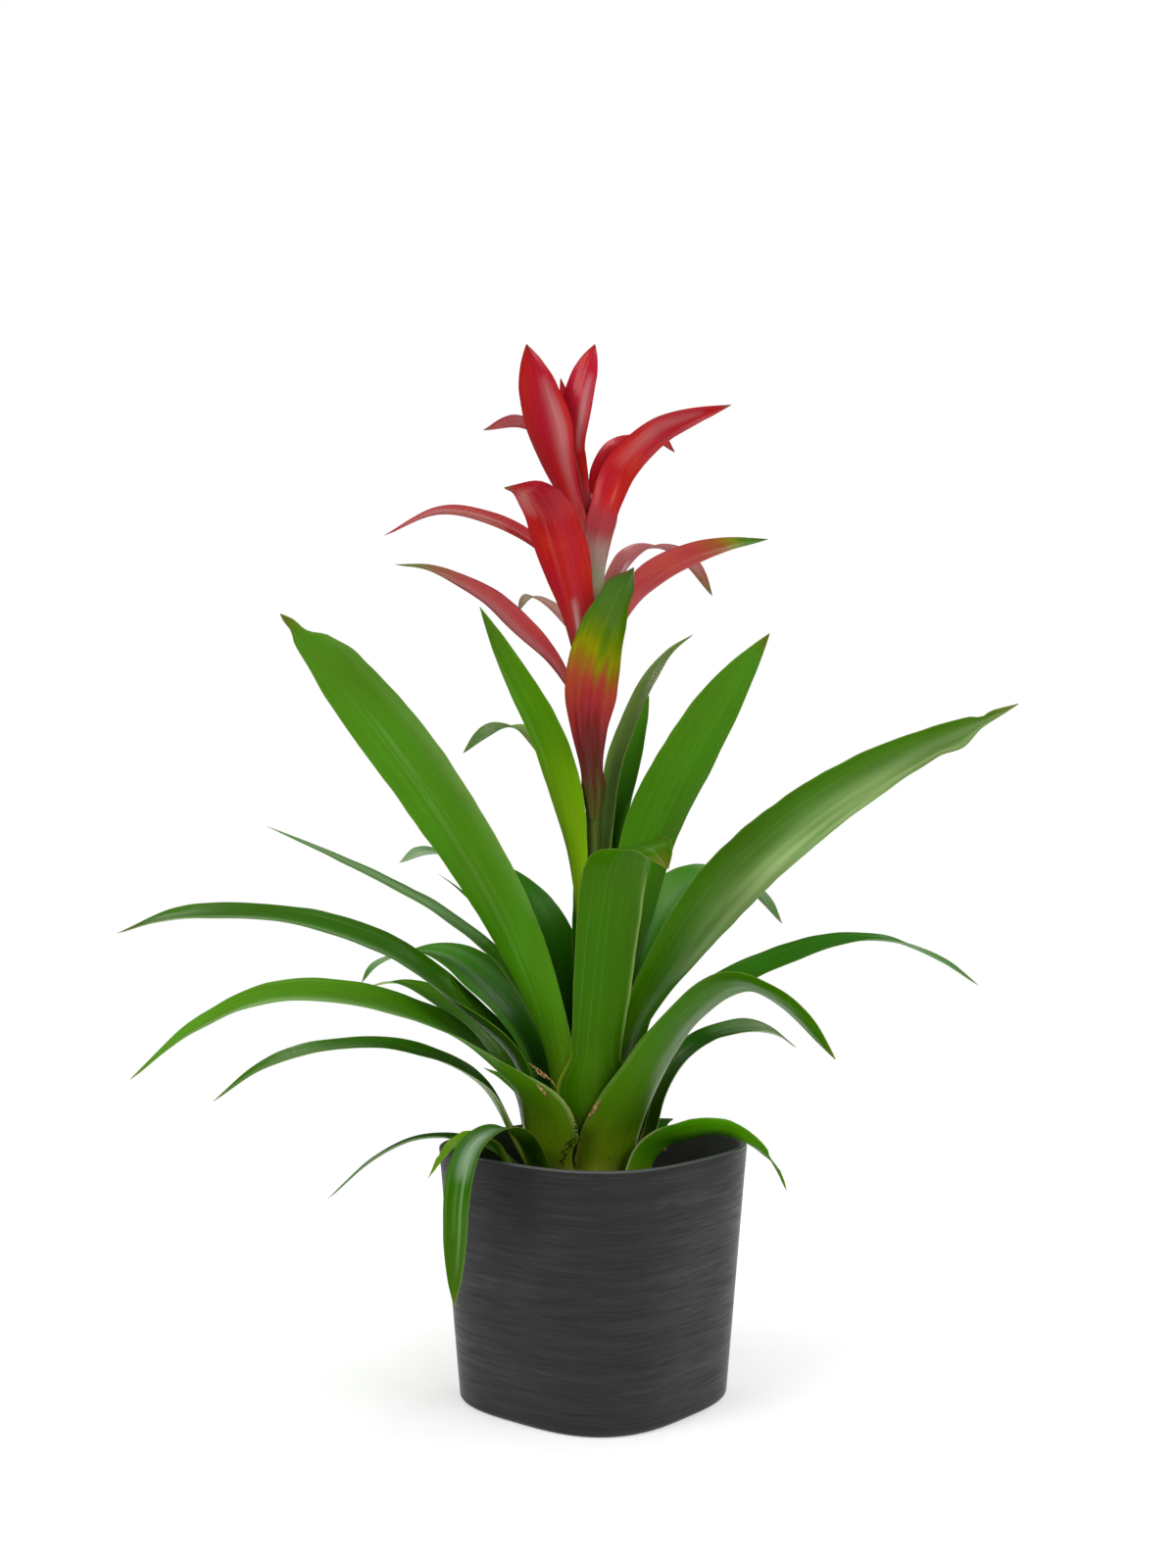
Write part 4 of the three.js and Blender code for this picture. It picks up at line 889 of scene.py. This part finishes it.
# Dead sheath tissue, dried in the air: tan and brown fibres, dull
def fibreMaterial():
    look = fibres["finish"]
    material, tree, shader = newMaterial("driedSheath")
    place = addNode(tree, "ShaderNodeTexCoord").outputs["Object"]
    fine = addNode(tree, "ShaderNodeTexNoise", {"Vector": place, "Scale": look["scale"], "Detail": 3})
    share = addNode(tree, "ShaderNodeMapRange", (fine, *look["spread"], 0, 1))
    mixed = addNode(tree, "ShaderNodeMixRGB", (share, *map(hexColour, look["colours"])))
    bump = addNode(tree, "ShaderNodeBump", {"Strength": 1, "Distance": look["relief"], "Height": fine})
    setInputs(tree, shader, {"Base Color": mixed, "Normal": bump, **look["sockets"]})
    return material


# Each fibre: its blade, its width and its spots
fibreLines = [
    ("leaf_front_left", 0.8, [(0.232, 1.5, 0), (0.218, 1.4, 0), (0.206, 1.28, -0.4), (0.197, 1.22, -0.6)]),
    ("leaf_front_left", 0.6, [(0.222, 1.46, 0.4), (0.212, 1.34, 0.8), (0.2, 1.3, 0.4), (0.19, 1.2, 0)]),
    ("leaf_front_left", 0.6, [(0.215, 1.32, -0.4), (0.204, 1.3, 0.4), (0.193, 1.22, 0.3),
                              (0.183, 1.12, -0.2)]),
    ("leaf_front_left", 0.7, [(0.213, 1.42, 0.8), (0.207, 1.3, 0), (0.21, 1.2, -0.5)]),
    ("leaf_front_left", 1.5, [(0.202, 0.92, -0.55), (0.194, 0.85, -0.6), (0.186, 0.8, -0.6),
                              (0.177, 0.74, -0.55)]),
    ("leaf_front_right", 1.7, [(0.158, -0.96, -0.5), (0.175, -0.95, -0.5), (0.19, -0.92, -0.5),
                               (0.205, -0.92, -0.4)]),
    ("leaf_front_right", 0.9, [(0.15, -0.98, -0.6), (0.17, -0.9, -0.6), (0.187, -0.87, -0.6)]),
    ("leaf_front_right", 0.9, [(0.03, -0.96, -0.6), (0.06, -1.0, -0.6), (0.09, -0.98, -0.6),
                               (0.115, -0.98, -0.5)]),
    ("leaf_front_centre", 1.2, [(0.222, 0.84, -0.5), (0.24, 0.92, -0.5), (0.26, 0.88, -0.5)]),
    ("leaf_low_right", 1.8, [(0.29, 0.9, -0.5), (0.302, 0.96, -0.5), (0.316, 0.94, -0.5)]),
]
fibreStart = bladeLines("shreds", fibreLines)
dried = grownBy("dried_shreds", fibreTree(), fibres["shape"], fibreMaterial(), fibreStart)
settle(dried, "soil")
print("old sheaths frayed:", len(fibreLines), "fibres")

# The soil in the pot, and the crumbs of it that are caught on the leaves
soil = {
    "top": 96, "bottom": 4.3, "holeRadius": 32.3, "holeFloor": 84, "sides": 96, "rings": 12, "seatGap": 0.3,
    "bump": 0.96, "bumpSize": (7, 6), "lump": 1.1, "lumpSize": 3,
    "chips": {"count": 900, "smallest": 0.7 * mm, "largest": 2.2 * mm, "seed": 4},
    "chipArea": 0.0095,  # square metres of soil round the crown
    "chipsFrom": 90 * mm,
    "crumbs": {
        "spacing": 0.55 * mm, "scatter": 1.0 * mm, "smallest": 0.2 * mm, "largest": 0.75 * mm, "seed": 9},
    "finish": {
        "crumbScale": 420, "dustScale": 900,  # crumbs of 2.4 mm, dust of 1.1 mm
        "colours": ("1a120c", "6b4c30"), "roughness": (0.85, 1), "relief": 0.8 * mm,
        "sockets": {"Specular IOR Level": 0.2},
    },
}
fullTurn = (6.28, 6.28, 6.28)


# Grains on a tree's points, shifted, stretched, sized and turned at random. A draw is its least value, its
# most and what is added to the seed.
def grainsOn(tree, given, spots, draws):
    drawn = {}
    for key, (least, most, shift) in draws.items():
        kind = "FLOAT" if key == "size" else "FLOAT_VECTOR"
        seed = addNode(tree, "ShaderNodeMath", (given["seed"], shift))
        drawn[key] = addNode(tree, "FunctionNodeRandomValue", {
            "Min": least, "Max": most, "Seed": seed}, data_type=kind)
    if "away" in drawn:
        offset = addNode(tree, "ShaderNodeVectorMath", {
            0: drawn["away"], "Scale": given["scatter"]}, operation="SCALE")
        spots = addNode(tree, "GeometryNodeSetPosition", {"Geometry": spots, "Offset": offset})
    scale = addNode(tree, "ShaderNodeVectorMath", {
        0: drawn["stretch"], "Scale": drawn["size"].outputs[1]}, operation="SCALE")
    grain = addNode(tree, "GeometryNodeMeshIcoSphere", {"Radius": 1.0, "Subdivisions": 1})
    return addNode(tree, "GeometryNodeInstanceOnPoints", {
        "Points": spots, "Instance": grain, "Scale": scale, "Rotation": drawn["turn"]})


# Moist peat with bark and grit, loose: dark brown crumbs of 1 to 5 mm, no shine
def peatMaterial():
    look = soil["finish"]
    material, tree, shader = newMaterial("moistPeat")
    place = addNode(tree, "ShaderNodeTexCoord").outputs["Object"]
    voronoi = addNode(tree, "ShaderNodeTexVoronoi", {"Vector": place, "Scale": look["crumbScale"]})
    crumb = voronoi.outputs
    dust = addNode(tree, "ShaderNodeTexNoise", {"Vector": place, "Scale": look["dustScale"], "Detail": 4})
    tone = addNode(tree, "ShaderNodeMath", (crumb["Color"], dust), operation="MULTIPLY")
    mixed = addNode(tree, "ShaderNodeMixRGB", (tone, *map(hexColour, look["colours"])))
    rough = addNode(tree, "ShaderNodeMapRange", (dust, *noiseBand, *look["roughness"]))
    bump = addNode(tree, "ShaderNodeBump", {
        "Strength": 1, "Distance": look["relief"], "Height": crumb["Distance"]})
    setInputs(tree, shader, {"Base Color": mixed, "Roughness": rough, "Normal": bump, **look["sockets"]})
    return material


# Crumbs of peat caught along the lines of a mesh
def crumbTree():
    tree, given, end = newTree("crumbsInSeam", soil["crumbs"])
    lines = addNode(tree, "GeometryNodeMeshToCurve", {0: given["Shape"]})
    spots = addNode(tree, "GeometryNodeCurveToPoints", {
        "Curve": lines, "Length": given["spacing"]}, mode="LENGTH")
    endTree(tree, given, end, grainsOn(tree, given, spots, {
        "away": ((-1, -0.3, -1), (1, 0.3, 1), 0), "size": (given["smallest"], given["largest"], 1),
        "stretch": ((0.5, 0.5, 0.5), (1, 1.4, 1), 2), "turn": ((0, 0, 0), fullTurn, 3)}))
    return tree


# Each seam: its blade, its width and its spots
crumbLines = [
    ("leaf_front_left", 1, [(0.152, 1.06, -0.5), (0.14, 1.0, -0.7), (0.125, 0.93, -0.7),
                            (0.105, 0.86, -0.7)]),
    ("leaf_front_left", 1, [(0.115, 0.9, -0.7), (0.09, 0.82, -0.7), (0.067, 0.76, -0.7),
                            (0.05, 0.72, -0.7)]),
    ("leaf_front_left", 1, [(0.118, 1.0, -0.6), (0.11, 1.08, -0.6)]),
    ("leaf_front_left", 1, [(0.07, 0.8, -0.7), (0.062, 0.7, -0.7)]),
]
peat = peatMaterial()
caught = grownBy("caught_crumbs", crumbTree(), soil["crumbs"], peat, bladeLines("seam", crumbLines))
settle(caught, "soil")
print("crumbs caught:", len(caught.data.polygons), "faces")


# The pot: a square with strongly rounded corners in plan, tapering to its base. Its shape is in metres, for
# its tree. A pattern is its scale, its detail and its roughness.
pot = {
    "shape": {
        "height": 122.7 * mm, "rimWidth": 134.6 * mm, "baseWidth": 116 * mm, "wall": 3 * mm,
        "floor": 4 * mm, "footRound": 3 * mm, "rimRound": 1 * mm, "squareness": 3.0,
        "turn": math.radians(50.5), "sides": 192,
    },
    "finish": {
        "grain": ((42, 42, 1250), 3, 0.6),  # lines 0.8 mm high and 24 mm long
        "band": ((14, 14, 240), 4, 0.6),  # bands 4 mm high
        "dash": ((130, 130, 1100), 3, 0.7),  # dashes 0.9 mm high and 8 mm long
        "grainSpread": (0.52, 0.98), "dashSpread": (0.28, 0.42), "dashShare": 0.5,
        # the inside's colour is painted light, a paler grey that lifts the shade in the pot
        "dark": "0b0b0c", "pale": "1c1c1d", "dashes": "343435", "dust": "5c5c5e", "rimHighlight": "6c6c6e",
        # the rim's paler colour is a painted highlight along its rounded lip, this deep
        "rimHighlightDepth": (1 * mm, 0.4 * mm), "rimHighlightShare": 0.8,
        "roughness": (0.6, 0.36), "relief": 0.06 * mm,
        "sockets": {"IOR": 1.49, "Specular IOR Level": 0.4, "Sheen Weight": 0.4, "Sheen Roughness": 0.2},
    },
}


def potTree():
    tree, given, end = newTree("roundedSquarePot", pot["shape"])
    # the section, from the middle of the underside round the wall to the middle of the floor
    halfRim = addNode(tree, "ShaderNodeMath", (given["rimWidth"], 0.5), operation="MULTIPLY")
    halfBase = addNode(tree, "ShaderNodeMath", (given["baseWidth"], 0.5), operation="MULTIPLY")
    taper = addNode(tree, "ShaderNodeMath", (halfRim, halfBase), operation="SUBTRACT")
    share = addNode(tree, "ShaderNodeMath", (given["floor"], given["height"]), operation="DIVIDE")
    halfFloor = addNode(tree, "ShaderNodeMath", (taper, share, halfBase), operation="MULTIPLY_ADD")
    innerRim = addNode(tree, "ShaderNodeMath", (halfRim, given["wall"]), operation="SUBTRACT")
    innerFloor = addNode(tree, "ShaderNodeMath", (halfFloor, given["wall"]), operation="SUBTRACT")
    corners = [(0, 0), (halfBase, 0), (halfRim, given["height"]), (innerRim, given["height"]),
               (innerFloor, given["floor"]), (0, given["floor"])]
    index = addNode(tree, "GeometryNodeInputIndex")
    chosen = addNode(tree, "GeometryNodeIndexSwitch", {"Index": index}, data_type="VECTOR")
    while len(chosen.index_switch_items) < len(corners):
        chosen.index_switch_items.new()
    for k, (half, height) in enumerate(corners):
        spot = addNode(tree, "ShaderNodeCombineXYZ", (half, 0, height))
        tree.links.new(spot.outputs[0], chosen.inputs[k + 1])
    line = addNode(tree, "GeometryNodeMeshLine", {"Count": len(corners)})
    placed = addNode(tree, "GeometryNodeSetPosition", {"Geometry": line, "Position": chosen})
    section = addNode(tree, "GeometryNodeMeshToCurve", {0: placed})
    # its rounded edges, one radius for the upper half and one for the lower
    position = addNode(tree, "GeometryNodeInputPosition")
    height = addNode(tree, "ShaderNodeSeparateXYZ", {0: position}).outputs[2]
    middle = addNode(tree, "ShaderNodeMath", (given["height"], 0.5), operation="MULTIPLY")
    upper = addNode(tree, "ShaderNodeMath", (height, middle), operation="GREATER_THAN")
    change = addNode(tree, "ShaderNodeMath", (given["rimRound"], given["footRound"]), operation="SUBTRACT")
    radius = addNode(tree, "ShaderNodeMath", (change, upper, given["footRound"]), operation="MULTIPLY_ADD")
    rounded = addNode(tree, "GeometryNodeFilletCurve", {
        "Curve": section, "Radius": radius, "Limit Radius": True, "Count": 6}, mode="POLY")
    # a sheet with a row for each point of the section and a column for each side
    rows = addNode(tree, "GeometryNodeAttributeDomainSize", {0: rounded}, component="CURVE")
    columns = addNode(tree, "ShaderNodeMath", (given["sides"], 1), operation="ADD")
    sheet = addNode(tree, "GeometryNodeMeshGrid", {"Vertices X": columns, "Vertices Y": rows})
    number = addNode(tree, "ShaderNodeMath", (index, 0.5), operation="ADD")
    passed = addNode(tree, "ShaderNodeMath", (number, rows), operation="DIVIDE")
    column = addNode(tree, "ShaderNodeMath", {0: passed}, operation="FLOOR")
    before = addNode(tree, "ShaderNodeMath", (column, rows), operation="MULTIPLY")
    row = addNode(tree, "ShaderNodeMath", (index, before), operation="SUBTRACT")
    spot = addNode(tree, "GeometryNodeSampleIndex", {
        "Geometry": rounded, "Value": position, "Index": row}, data_type="FLOAT_VECTOR", domain="POINT")
    parts = addNode(tree, "ShaderNodeSeparateXYZ", {0: spot}).outputs
    part = addNode(tree, "ShaderNodeMath", (column, given["sides"]), operation="DIVIDE")
    angle = addNode(tree, "ShaderNodeMath", (part, 2 * math.pi), operation="MULTIPLY")
    # bent round the superellipse of the pot's plan
    powers = []
    for wave in ("COSINE", "SINE"):
        level = addNode(tree, "ShaderNodeMath", {0: angle}, operation=wave)
        size = addNode(tree, "ShaderNodeMath", {0: level}, operation="ABSOLUTE")
        powers.append(addNode(tree, "ShaderNodeMath", (size, given["squareness"]), operation="POWER"))
    both = addNode(tree, "ShaderNodeMath", powers, operation="ADD")
    inverse = addNode(tree, "ShaderNodeMath", (-1, given["squareness"]), operation="DIVIDE")
    stretch = addNode(tree, "ShaderNodeMath", (both, inverse), operation="POWER")
    reach = addNode(tree, "ShaderNodeMath", (parts[0], stretch), operation="MULTIPLY")
    heading = addNode(tree, "ShaderNodeMath", (angle, given["turn"]), operation="ADD")
    onPot = addNode(tree, "ShaderNodeCombineXYZ", (*levelSpot(tree, reach, heading), parts[2]))
    bent = addNode(tree, "GeometryNodeSetPosition", {"Geometry": sheet, "Position": onPot})
    # the rows past two thirds of the section are the wall and floor inside
    innerFrom = addNode(tree, "ShaderNodeMath", (rows, 0.66), operation="MULTIPLY")
    inner = addNode(tree, "ShaderNodeMath", (row, innerFrom), operation="GREATER_THAN")
    marked = addNode(tree, "GeometryNodeStoreNamedAttribute", {
        "Geometry": bent, "Name": "inner", "Value": inner}, data_type="FLOAT", domain="POINT")
    merged = addNode(tree, "GeometryNodeMergeByDistance", {"Geometry": marked, "Distance": 0.01 * mm})
    endTree(tree, given, end, merged)
    return tree


# Polypropylene with a metallic anthracite pigment, injection moulded in a tool with a fine brushed grain
# round the pot: a dull dark grey with short level streaks, some paler, and a soft sheen
def potMaterial():
    look = pot["finish"]
    material, tree, shader = newMaterial("brushedPolypropylene")
    place = addNode(tree, "ShaderNodeTexCoord").outputs["Object"]
    patterns = []
    for key in ("grain", "band", "dash"):
        scale, detail, roughness = look[key]
        stretched = addNode(tree, "ShaderNodeMapping", {"Vector": place, "Scale": scale})
        patterns.append(addNode(tree, "ShaderNodeTexNoise", {
            "Vector": stretched, "Scale": 1, "Detail": detail, "Roughness": roughness}))
    grain, band, dash = patterns
    both = addNode(tree, "ShaderNodeMath", (band, 0.5, grain), operation="MULTIPLY_ADD")
    grained = addNode(tree, "ShaderNodeMapRange", (both, *look["grainSpread"], 0, 1))
    rough = addNode(tree, "ShaderNodeMapRange", (both, *look["grainSpread"], *look["roughness"]))
    dashed = addNode(tree, "ShaderNodeMath", (dash, band), operation="MULTIPLY")
    dashShare = addNode(tree, "ShaderNodeMapRange", (dashed, *look["dashSpread"], 0, look["dashShare"]))
    # painted light: the wall and floor inside are painted a paler grey, to lift their shade
    inner = addNode(tree, "ShaderNodeAttribute", attribute_name="inner").outputs["Fac"]
    # painted highlight: the top edge of the rim is painted paler, where light catches its rounded lip
    tall = addNode(tree, "ShaderNodeSeparateXYZ", {0: place}).outputs[2]
    edge = [pot["shape"]["height"] - depth for depth in look["rimHighlightDepth"]]
    rim = addNode(tree, "ShaderNodeMapRange", (tall, *edge, 0, look["rimHighlightShare"]))
    colour = hexColour(look["dark"])
    for share, key in ((grained, "pale"), (dashShare, "dashes"), (inner, "dust"), (rim, "rimHighlight")):
        colour = addNode(tree, "ShaderNodeMixRGB", (share, colour, hexColour(look[key])))
    bump = addNode(tree, "ShaderNodeBump", {"Strength": 1, "Distance": look["relief"], "Height": grain})
    setInputs(tree, shader, {"Base Color": colour, "Roughness": rough, "Normal": bump, **look["sockets"]})
    return material


potPiece = grownBy("pot_moulded", potTree(), pot["shape"], potMaterial())
weighted = potPiece.modifiers.new("evenNormals", "WEIGHTED_NORMAL")
weighted.weight = 60
settle(potPiece, "pot", "pot")
print("pot moulded")


# The soil's bed: from its underside up the sides, over the bumpy top and down the crown's round hole
def soilPiece(material):
    shape = pot["shape"]
    sides, top, holeRadius = soil["sides"], soil["top"], soil["holeRadius"]
    bumpX, bumpY = soil["bumpSize"]

    def square(height):
        share = height * mm / shape["height"]
        half = blend([shape["baseWidth"]], [shape["rimWidth"]], share)[0] / 2 / mm
        half -= shape["wall"] / mm + soil["seatGap"]
        power = shape["squareness"]
        found = []
        for j in range(sides):
            angle = 2 * math.pi * j / sides
            reach = half / (abs(math.cos(angle)) ** power + abs(math.sin(angle)) ** power) ** (1 / power)
            heading = angle + shape["turn"]
            found.append(Vector((reach * math.cos(heading), reach * math.sin(heading), height)))
        return found

    outer, inner = square(top), circle(holeRadius, top, sides, shape["turn"])
    rings = [square(soil["bottom"]), outer]
    for step in range(1, soil["rings"]):
        ring = []
        for p, q in zip(outer, inner):
            point = p.lerp(q, step / soil["rings"])
            point.z += soil["bump"] * math.sin(point.x / bumpX) * math.cos(point.y / bumpY)
            point.z += soil["lump"] * noise.noise(point / soil["lumpSize"])
            ring.append(point)
        rings.append(ring)
    rings += [inner, circle(holeRadius, soil["holeFloor"], sides, shape["turn"])]
    return pieceFromRings("soil_bed", rings, (soil["bottom"], soil["holeFloor"]), material)


# Loose chips that lie on a mesh, turned and sized at random
def chipTree():
    tree, given, end = newTree("chipsOnSoil", soil["chips"])
    density = addNode(tree, "ShaderNodeMath", (given["count"], soil["chipArea"]), operation="DIVIDE")
    spots = addNode(tree, "GeometryNodeDistributePointsOnFaces", {
        "Mesh": given["Shape"], "Density": density, "Seed": given["seed"]})
    endTree(tree, given, end, grainsOn(tree, given, spots, {
        "size": (given["smallest"], given["largest"], 0), "stretch": ((0.5, 0.5, 0.35), (1, 1.6, 0.8), 1),
        "turn": ((0, 0, 0), fullTurn, 0)}))
    return tree


bed = soilPiece(peat)
top = bed.data.copy()
work = bmesh.new()
work.from_mesh(top)
others = [f for f in work.faces if f.normal.z < 0.5 or f.calc_center_median().z < soil["chipsFrom"]]
bmesh.ops.delete(work, geom=others, context="FACES")
work.to_mesh(top)
work.free()
chips = grownBy("soil_chips", chipTree(), soil["chips"], peat, top)
settle(bed, "soil", "potting_soil")
settle(chips, "soil")
print("soil laid:", len(chips.data.polygons), "faces of chips")

# The flower buds, in the spiral order that plants grow them in
flowers = {
    "shape": {
        "count": 13, "foot": 421.3 * mm, "ring": 2.6 * mm, "rise": 5.5 * mm,
        "length": 15 * mm, "radius": 1.5 * mm, "lean": math.radians(11),
    },
    "finish": {
        "foldScale": (1100, 1100, 90), "foldTone": (0.8, 1.12), "relief": 0.15 * mm,  # folds 0.9 mm apart
        "colours": ("6f7a34", "cfc27a"), "greenFoot": (421 * mm, 437 * mm),
        "sockets": {"Roughness": 0.42, "IOR": 1.45, "Specular IOR Level": 0.45},
    },
}


def budTree():
    tree, given, end = newTree("spiralOfBuds", flowers["shape"])
    # one bud, thickest below its middle
    top = addNode(tree, "ShaderNodeCombineXYZ", {2: given["length"]})
    line = addNode(tree, "GeometryNodeCurvePrimitiveLine", {"End": top})
    steps = addNode(tree, "GeometryNodeResampleCurve", {"Curve": line, "Count": 12})
    share = addNode(tree, "GeometryNodeSplineParameter")
    lower = addNode(tree, "ShaderNodeMath", (share, 0.75), operation="POWER")
    thick = pointedBody(tree, lower, 0.04)
    ring = addNode(tree, "GeometryNodeCurvePrimitiveCircle", {"Radius": given["radius"], "Resolution": 12})
    bud = addNode(tree, "GeometryNodeCurveToMesh", {
        "Curve": steps, "Profile Curve": ring, "Scale": thick, "Fill Caps": True})
    # each bud stands further out, lower and more tilted than the one before, turned by the golden angle
    index = addNode(tree, "GeometryNodeInputIndex")
    part = addNode(tree, "ShaderNodeMath", (index, given["count"]), operation="DIVIDE")
    outer = addNode(tree, "ShaderNodeMath", {0: part}, operation="SQRT")
    heading = addNode(tree, "ShaderNodeMath", (index, math.radians(137.5)), operation="MULTIPLY")
    reach = addNode(tree, "ShaderNodeMath", (outer, given["ring"]), operation="MULTIPLY")
    left = addNode(tree, "ShaderNodeMath", (1, part), operation="SUBTRACT")
    height = addNode(tree, "ShaderNodeMath", (left, given["rise"], given["foot"]), operation="MULTIPLY_ADD")
    spot = addNode(tree, "ShaderNodeCombineXYZ", (*levelSpot(tree, reach, heading), height))
    points = addNode(tree, "GeometryNodePoints", {"Count": given["count"], "Position": spot})
    tilt = addNode(tree, "ShaderNodeMath", (outer, given["lean"]), operation="MULTIPLY")
    facing = addNode(tree, "ShaderNodeCombineXYZ", (0, tilt, heading))
    turned = addNode(tree, "FunctionNodeEulerToRotation", {0: facing})
    placed = addNode(tree, "GeometryNodeInstanceOnPoints", {
        "Points": points, "Instance": bud, "Rotation": turned})
    endTree(tree, given, end, placed)
    return tree


# Soft bud, waxy: cream yellow with a greener foot and fine lengthwise folds
def budMaterial():
    look = flowers["finish"]
    material, tree, shader = newMaterial("flowerBudSkin")
    place = addNode(tree, "ShaderNodeTexCoord").outputs["Object"]
    folds = addNode(tree, "ShaderNodeMapping", {"Vector": place, "Scale": look["foldScale"]})
    fold = addNode(tree, "ShaderNodeTexNoise", {"Vector": folds, "Scale": 1, "Detail": 2})
    height = addNode(tree, "ShaderNodeSeparateXYZ", {0: place}).outputs[2]
    share = addNode(tree, "ShaderNodeMapRange", (height, *look["greenFoot"], 0, 1))
    tinted = addNode(tree, "ShaderNodeMixRGB", (share, *map(hexColour, look["colours"])))
    tone = addNode(tree, "ShaderNodeMapRange", (fold, *noiseBand, *look["foldTone"]))
    toned = addNode(tree, "ShaderNodeHueSaturation", {"Value": tone, "Color": tinted})
    bump = addNode(tree, "ShaderNodeBump", {"Strength": 1, "Distance": look["relief"], "Height": fold})
    setInputs(tree, shader, {"Base Color": toned, "Normal": bump, **look["sockets"]})
    return material


buds = grownBy("flower_buds", budTree(), flowers["shape"], budMaterial())
settle(buds, "flowers", "flower_cluster")
print("flowers grown:", flowers["shape"]["count"], "buds")

# The camera stands where the photographer's did, level, with the frame shifted a little upwards
camera = {"place": (-0.0028, -0.832, 0.2655), "lens": 39.0, "shift": 0.0431}
cameraData = bpy.data.cameras.new("camera")
cameraData.lens = camera["lens"]
cameraData.shift_y = camera["shift"]
cameraData.clip_start = 0.01
cameraObject = bpy.data.objects.new("camera", cameraData)
cameraObject.location = camera["place"]
cameraObject.rotation_euler = (math.pi / 2, 0, 0)
bpy.context.scene.collection.objects.link(cameraObject)
bpy.context.scene.camera = cameraObject

# A plain pale floor, lit from below as on a light table, more so where the lamps no longer reach
ground = {
    "half": 0.6, "glow": (0.5, 0.88), "glowReach": (0.2, 1.6),
    "sockets": {"Base Color": hexColour("f4f4f4"), "Roughness": 0.9, "Specular IOR Level": 0.1,
                "Emission Color": (1, 1, 1, 1)},
}
floorMaterial, floorTree, floorShader = newMaterial("paleFloor")
floorPlace = addNode(floorTree, "ShaderNodeTexCoord").outputs["Object"]
fromPot = addNode(floorTree, "ShaderNodeVectorMath", {0: floorPlace}, operation="LENGTH").outputs["Value"]
glow = addNode(floorTree, "ShaderNodeMapRange", (fromPot, *ground["glowReach"], *ground["glow"]))
setInputs(floorTree, floorShader, {**ground["sockets"], "Emission Strength": glow})
half = ground["half"]
floorCorners = [(-half, -half, 0), (half, -half, 0), (half, half, 0), (-half, half, 0)]
floor = pieceFromFaces("floor", floorCorners, [(0, 1, 2, 3)], floorMaterial)

# Soft boxes of a product studio: name, place and size in metres, and power in watts
studio = {
    "boxes": [
        ("keyLeft", (-1.1, -1.0, 1.2), 0.8, 10.5),
        ("keyRight", (1.1, -0.9, 1.0), 0.7, 6),
        ("frontStrip", (0.42, -1.05, 0.55), 0.22, 1.6),
        ("overhead", (0.0, 0.1, 1.7), 1.1, 11),
        ("backRight", (0.8, 1.2, 1.3), 0.3, 1.4),
        ("backLeft", (-0.8, 1.2, 1.3), 0.3, 1.4),
        ("rimRight", (0.75, 0.95, 0.2), 0.3, 2.2),
    ],
    "target": (0, 0, 0.24),
    "ambient": 0.06,
}
for name, spot, size, power in studio["boxes"]:
    data = bpy.data.lights.new(name, "AREA")
    data.shape = "SQUARE"
    data.size = size
    data.energy = power
    light = bpy.data.objects.new(name, data)
    light.location = spot
    light.rotation_euler = (Vector(studio["target"]) - Vector(spot)).to_track_quat("-Z", "Y").to_euler()
    bpy.context.scene.collection.objects.link(light)

# White all round for the camera, and a faint light from everywhere
world = bpy.data.worlds.new("studio")
world.use_nodes = True
bpy.context.scene.world = world
air = world.node_tree
ray = addNode(air, "ShaderNodeLightPath")
strength = addNode(air, "ShaderNodeMapRange", (ray.outputs["Is Camera Ray"], 0, 1, studio["ambient"], 1))
setInputs(air, air.nodes["Background"], {"Color": (1, 1, 1, 1), "Strength": strength})
bpy.context.scene.view_settings.view_transform = "Standard"
print("studio lit:", len(studio["boxes"]), "lamps")

print("pieces:", len(made), "faces:", sum(len(p.data.polygons) for p in made.values()))
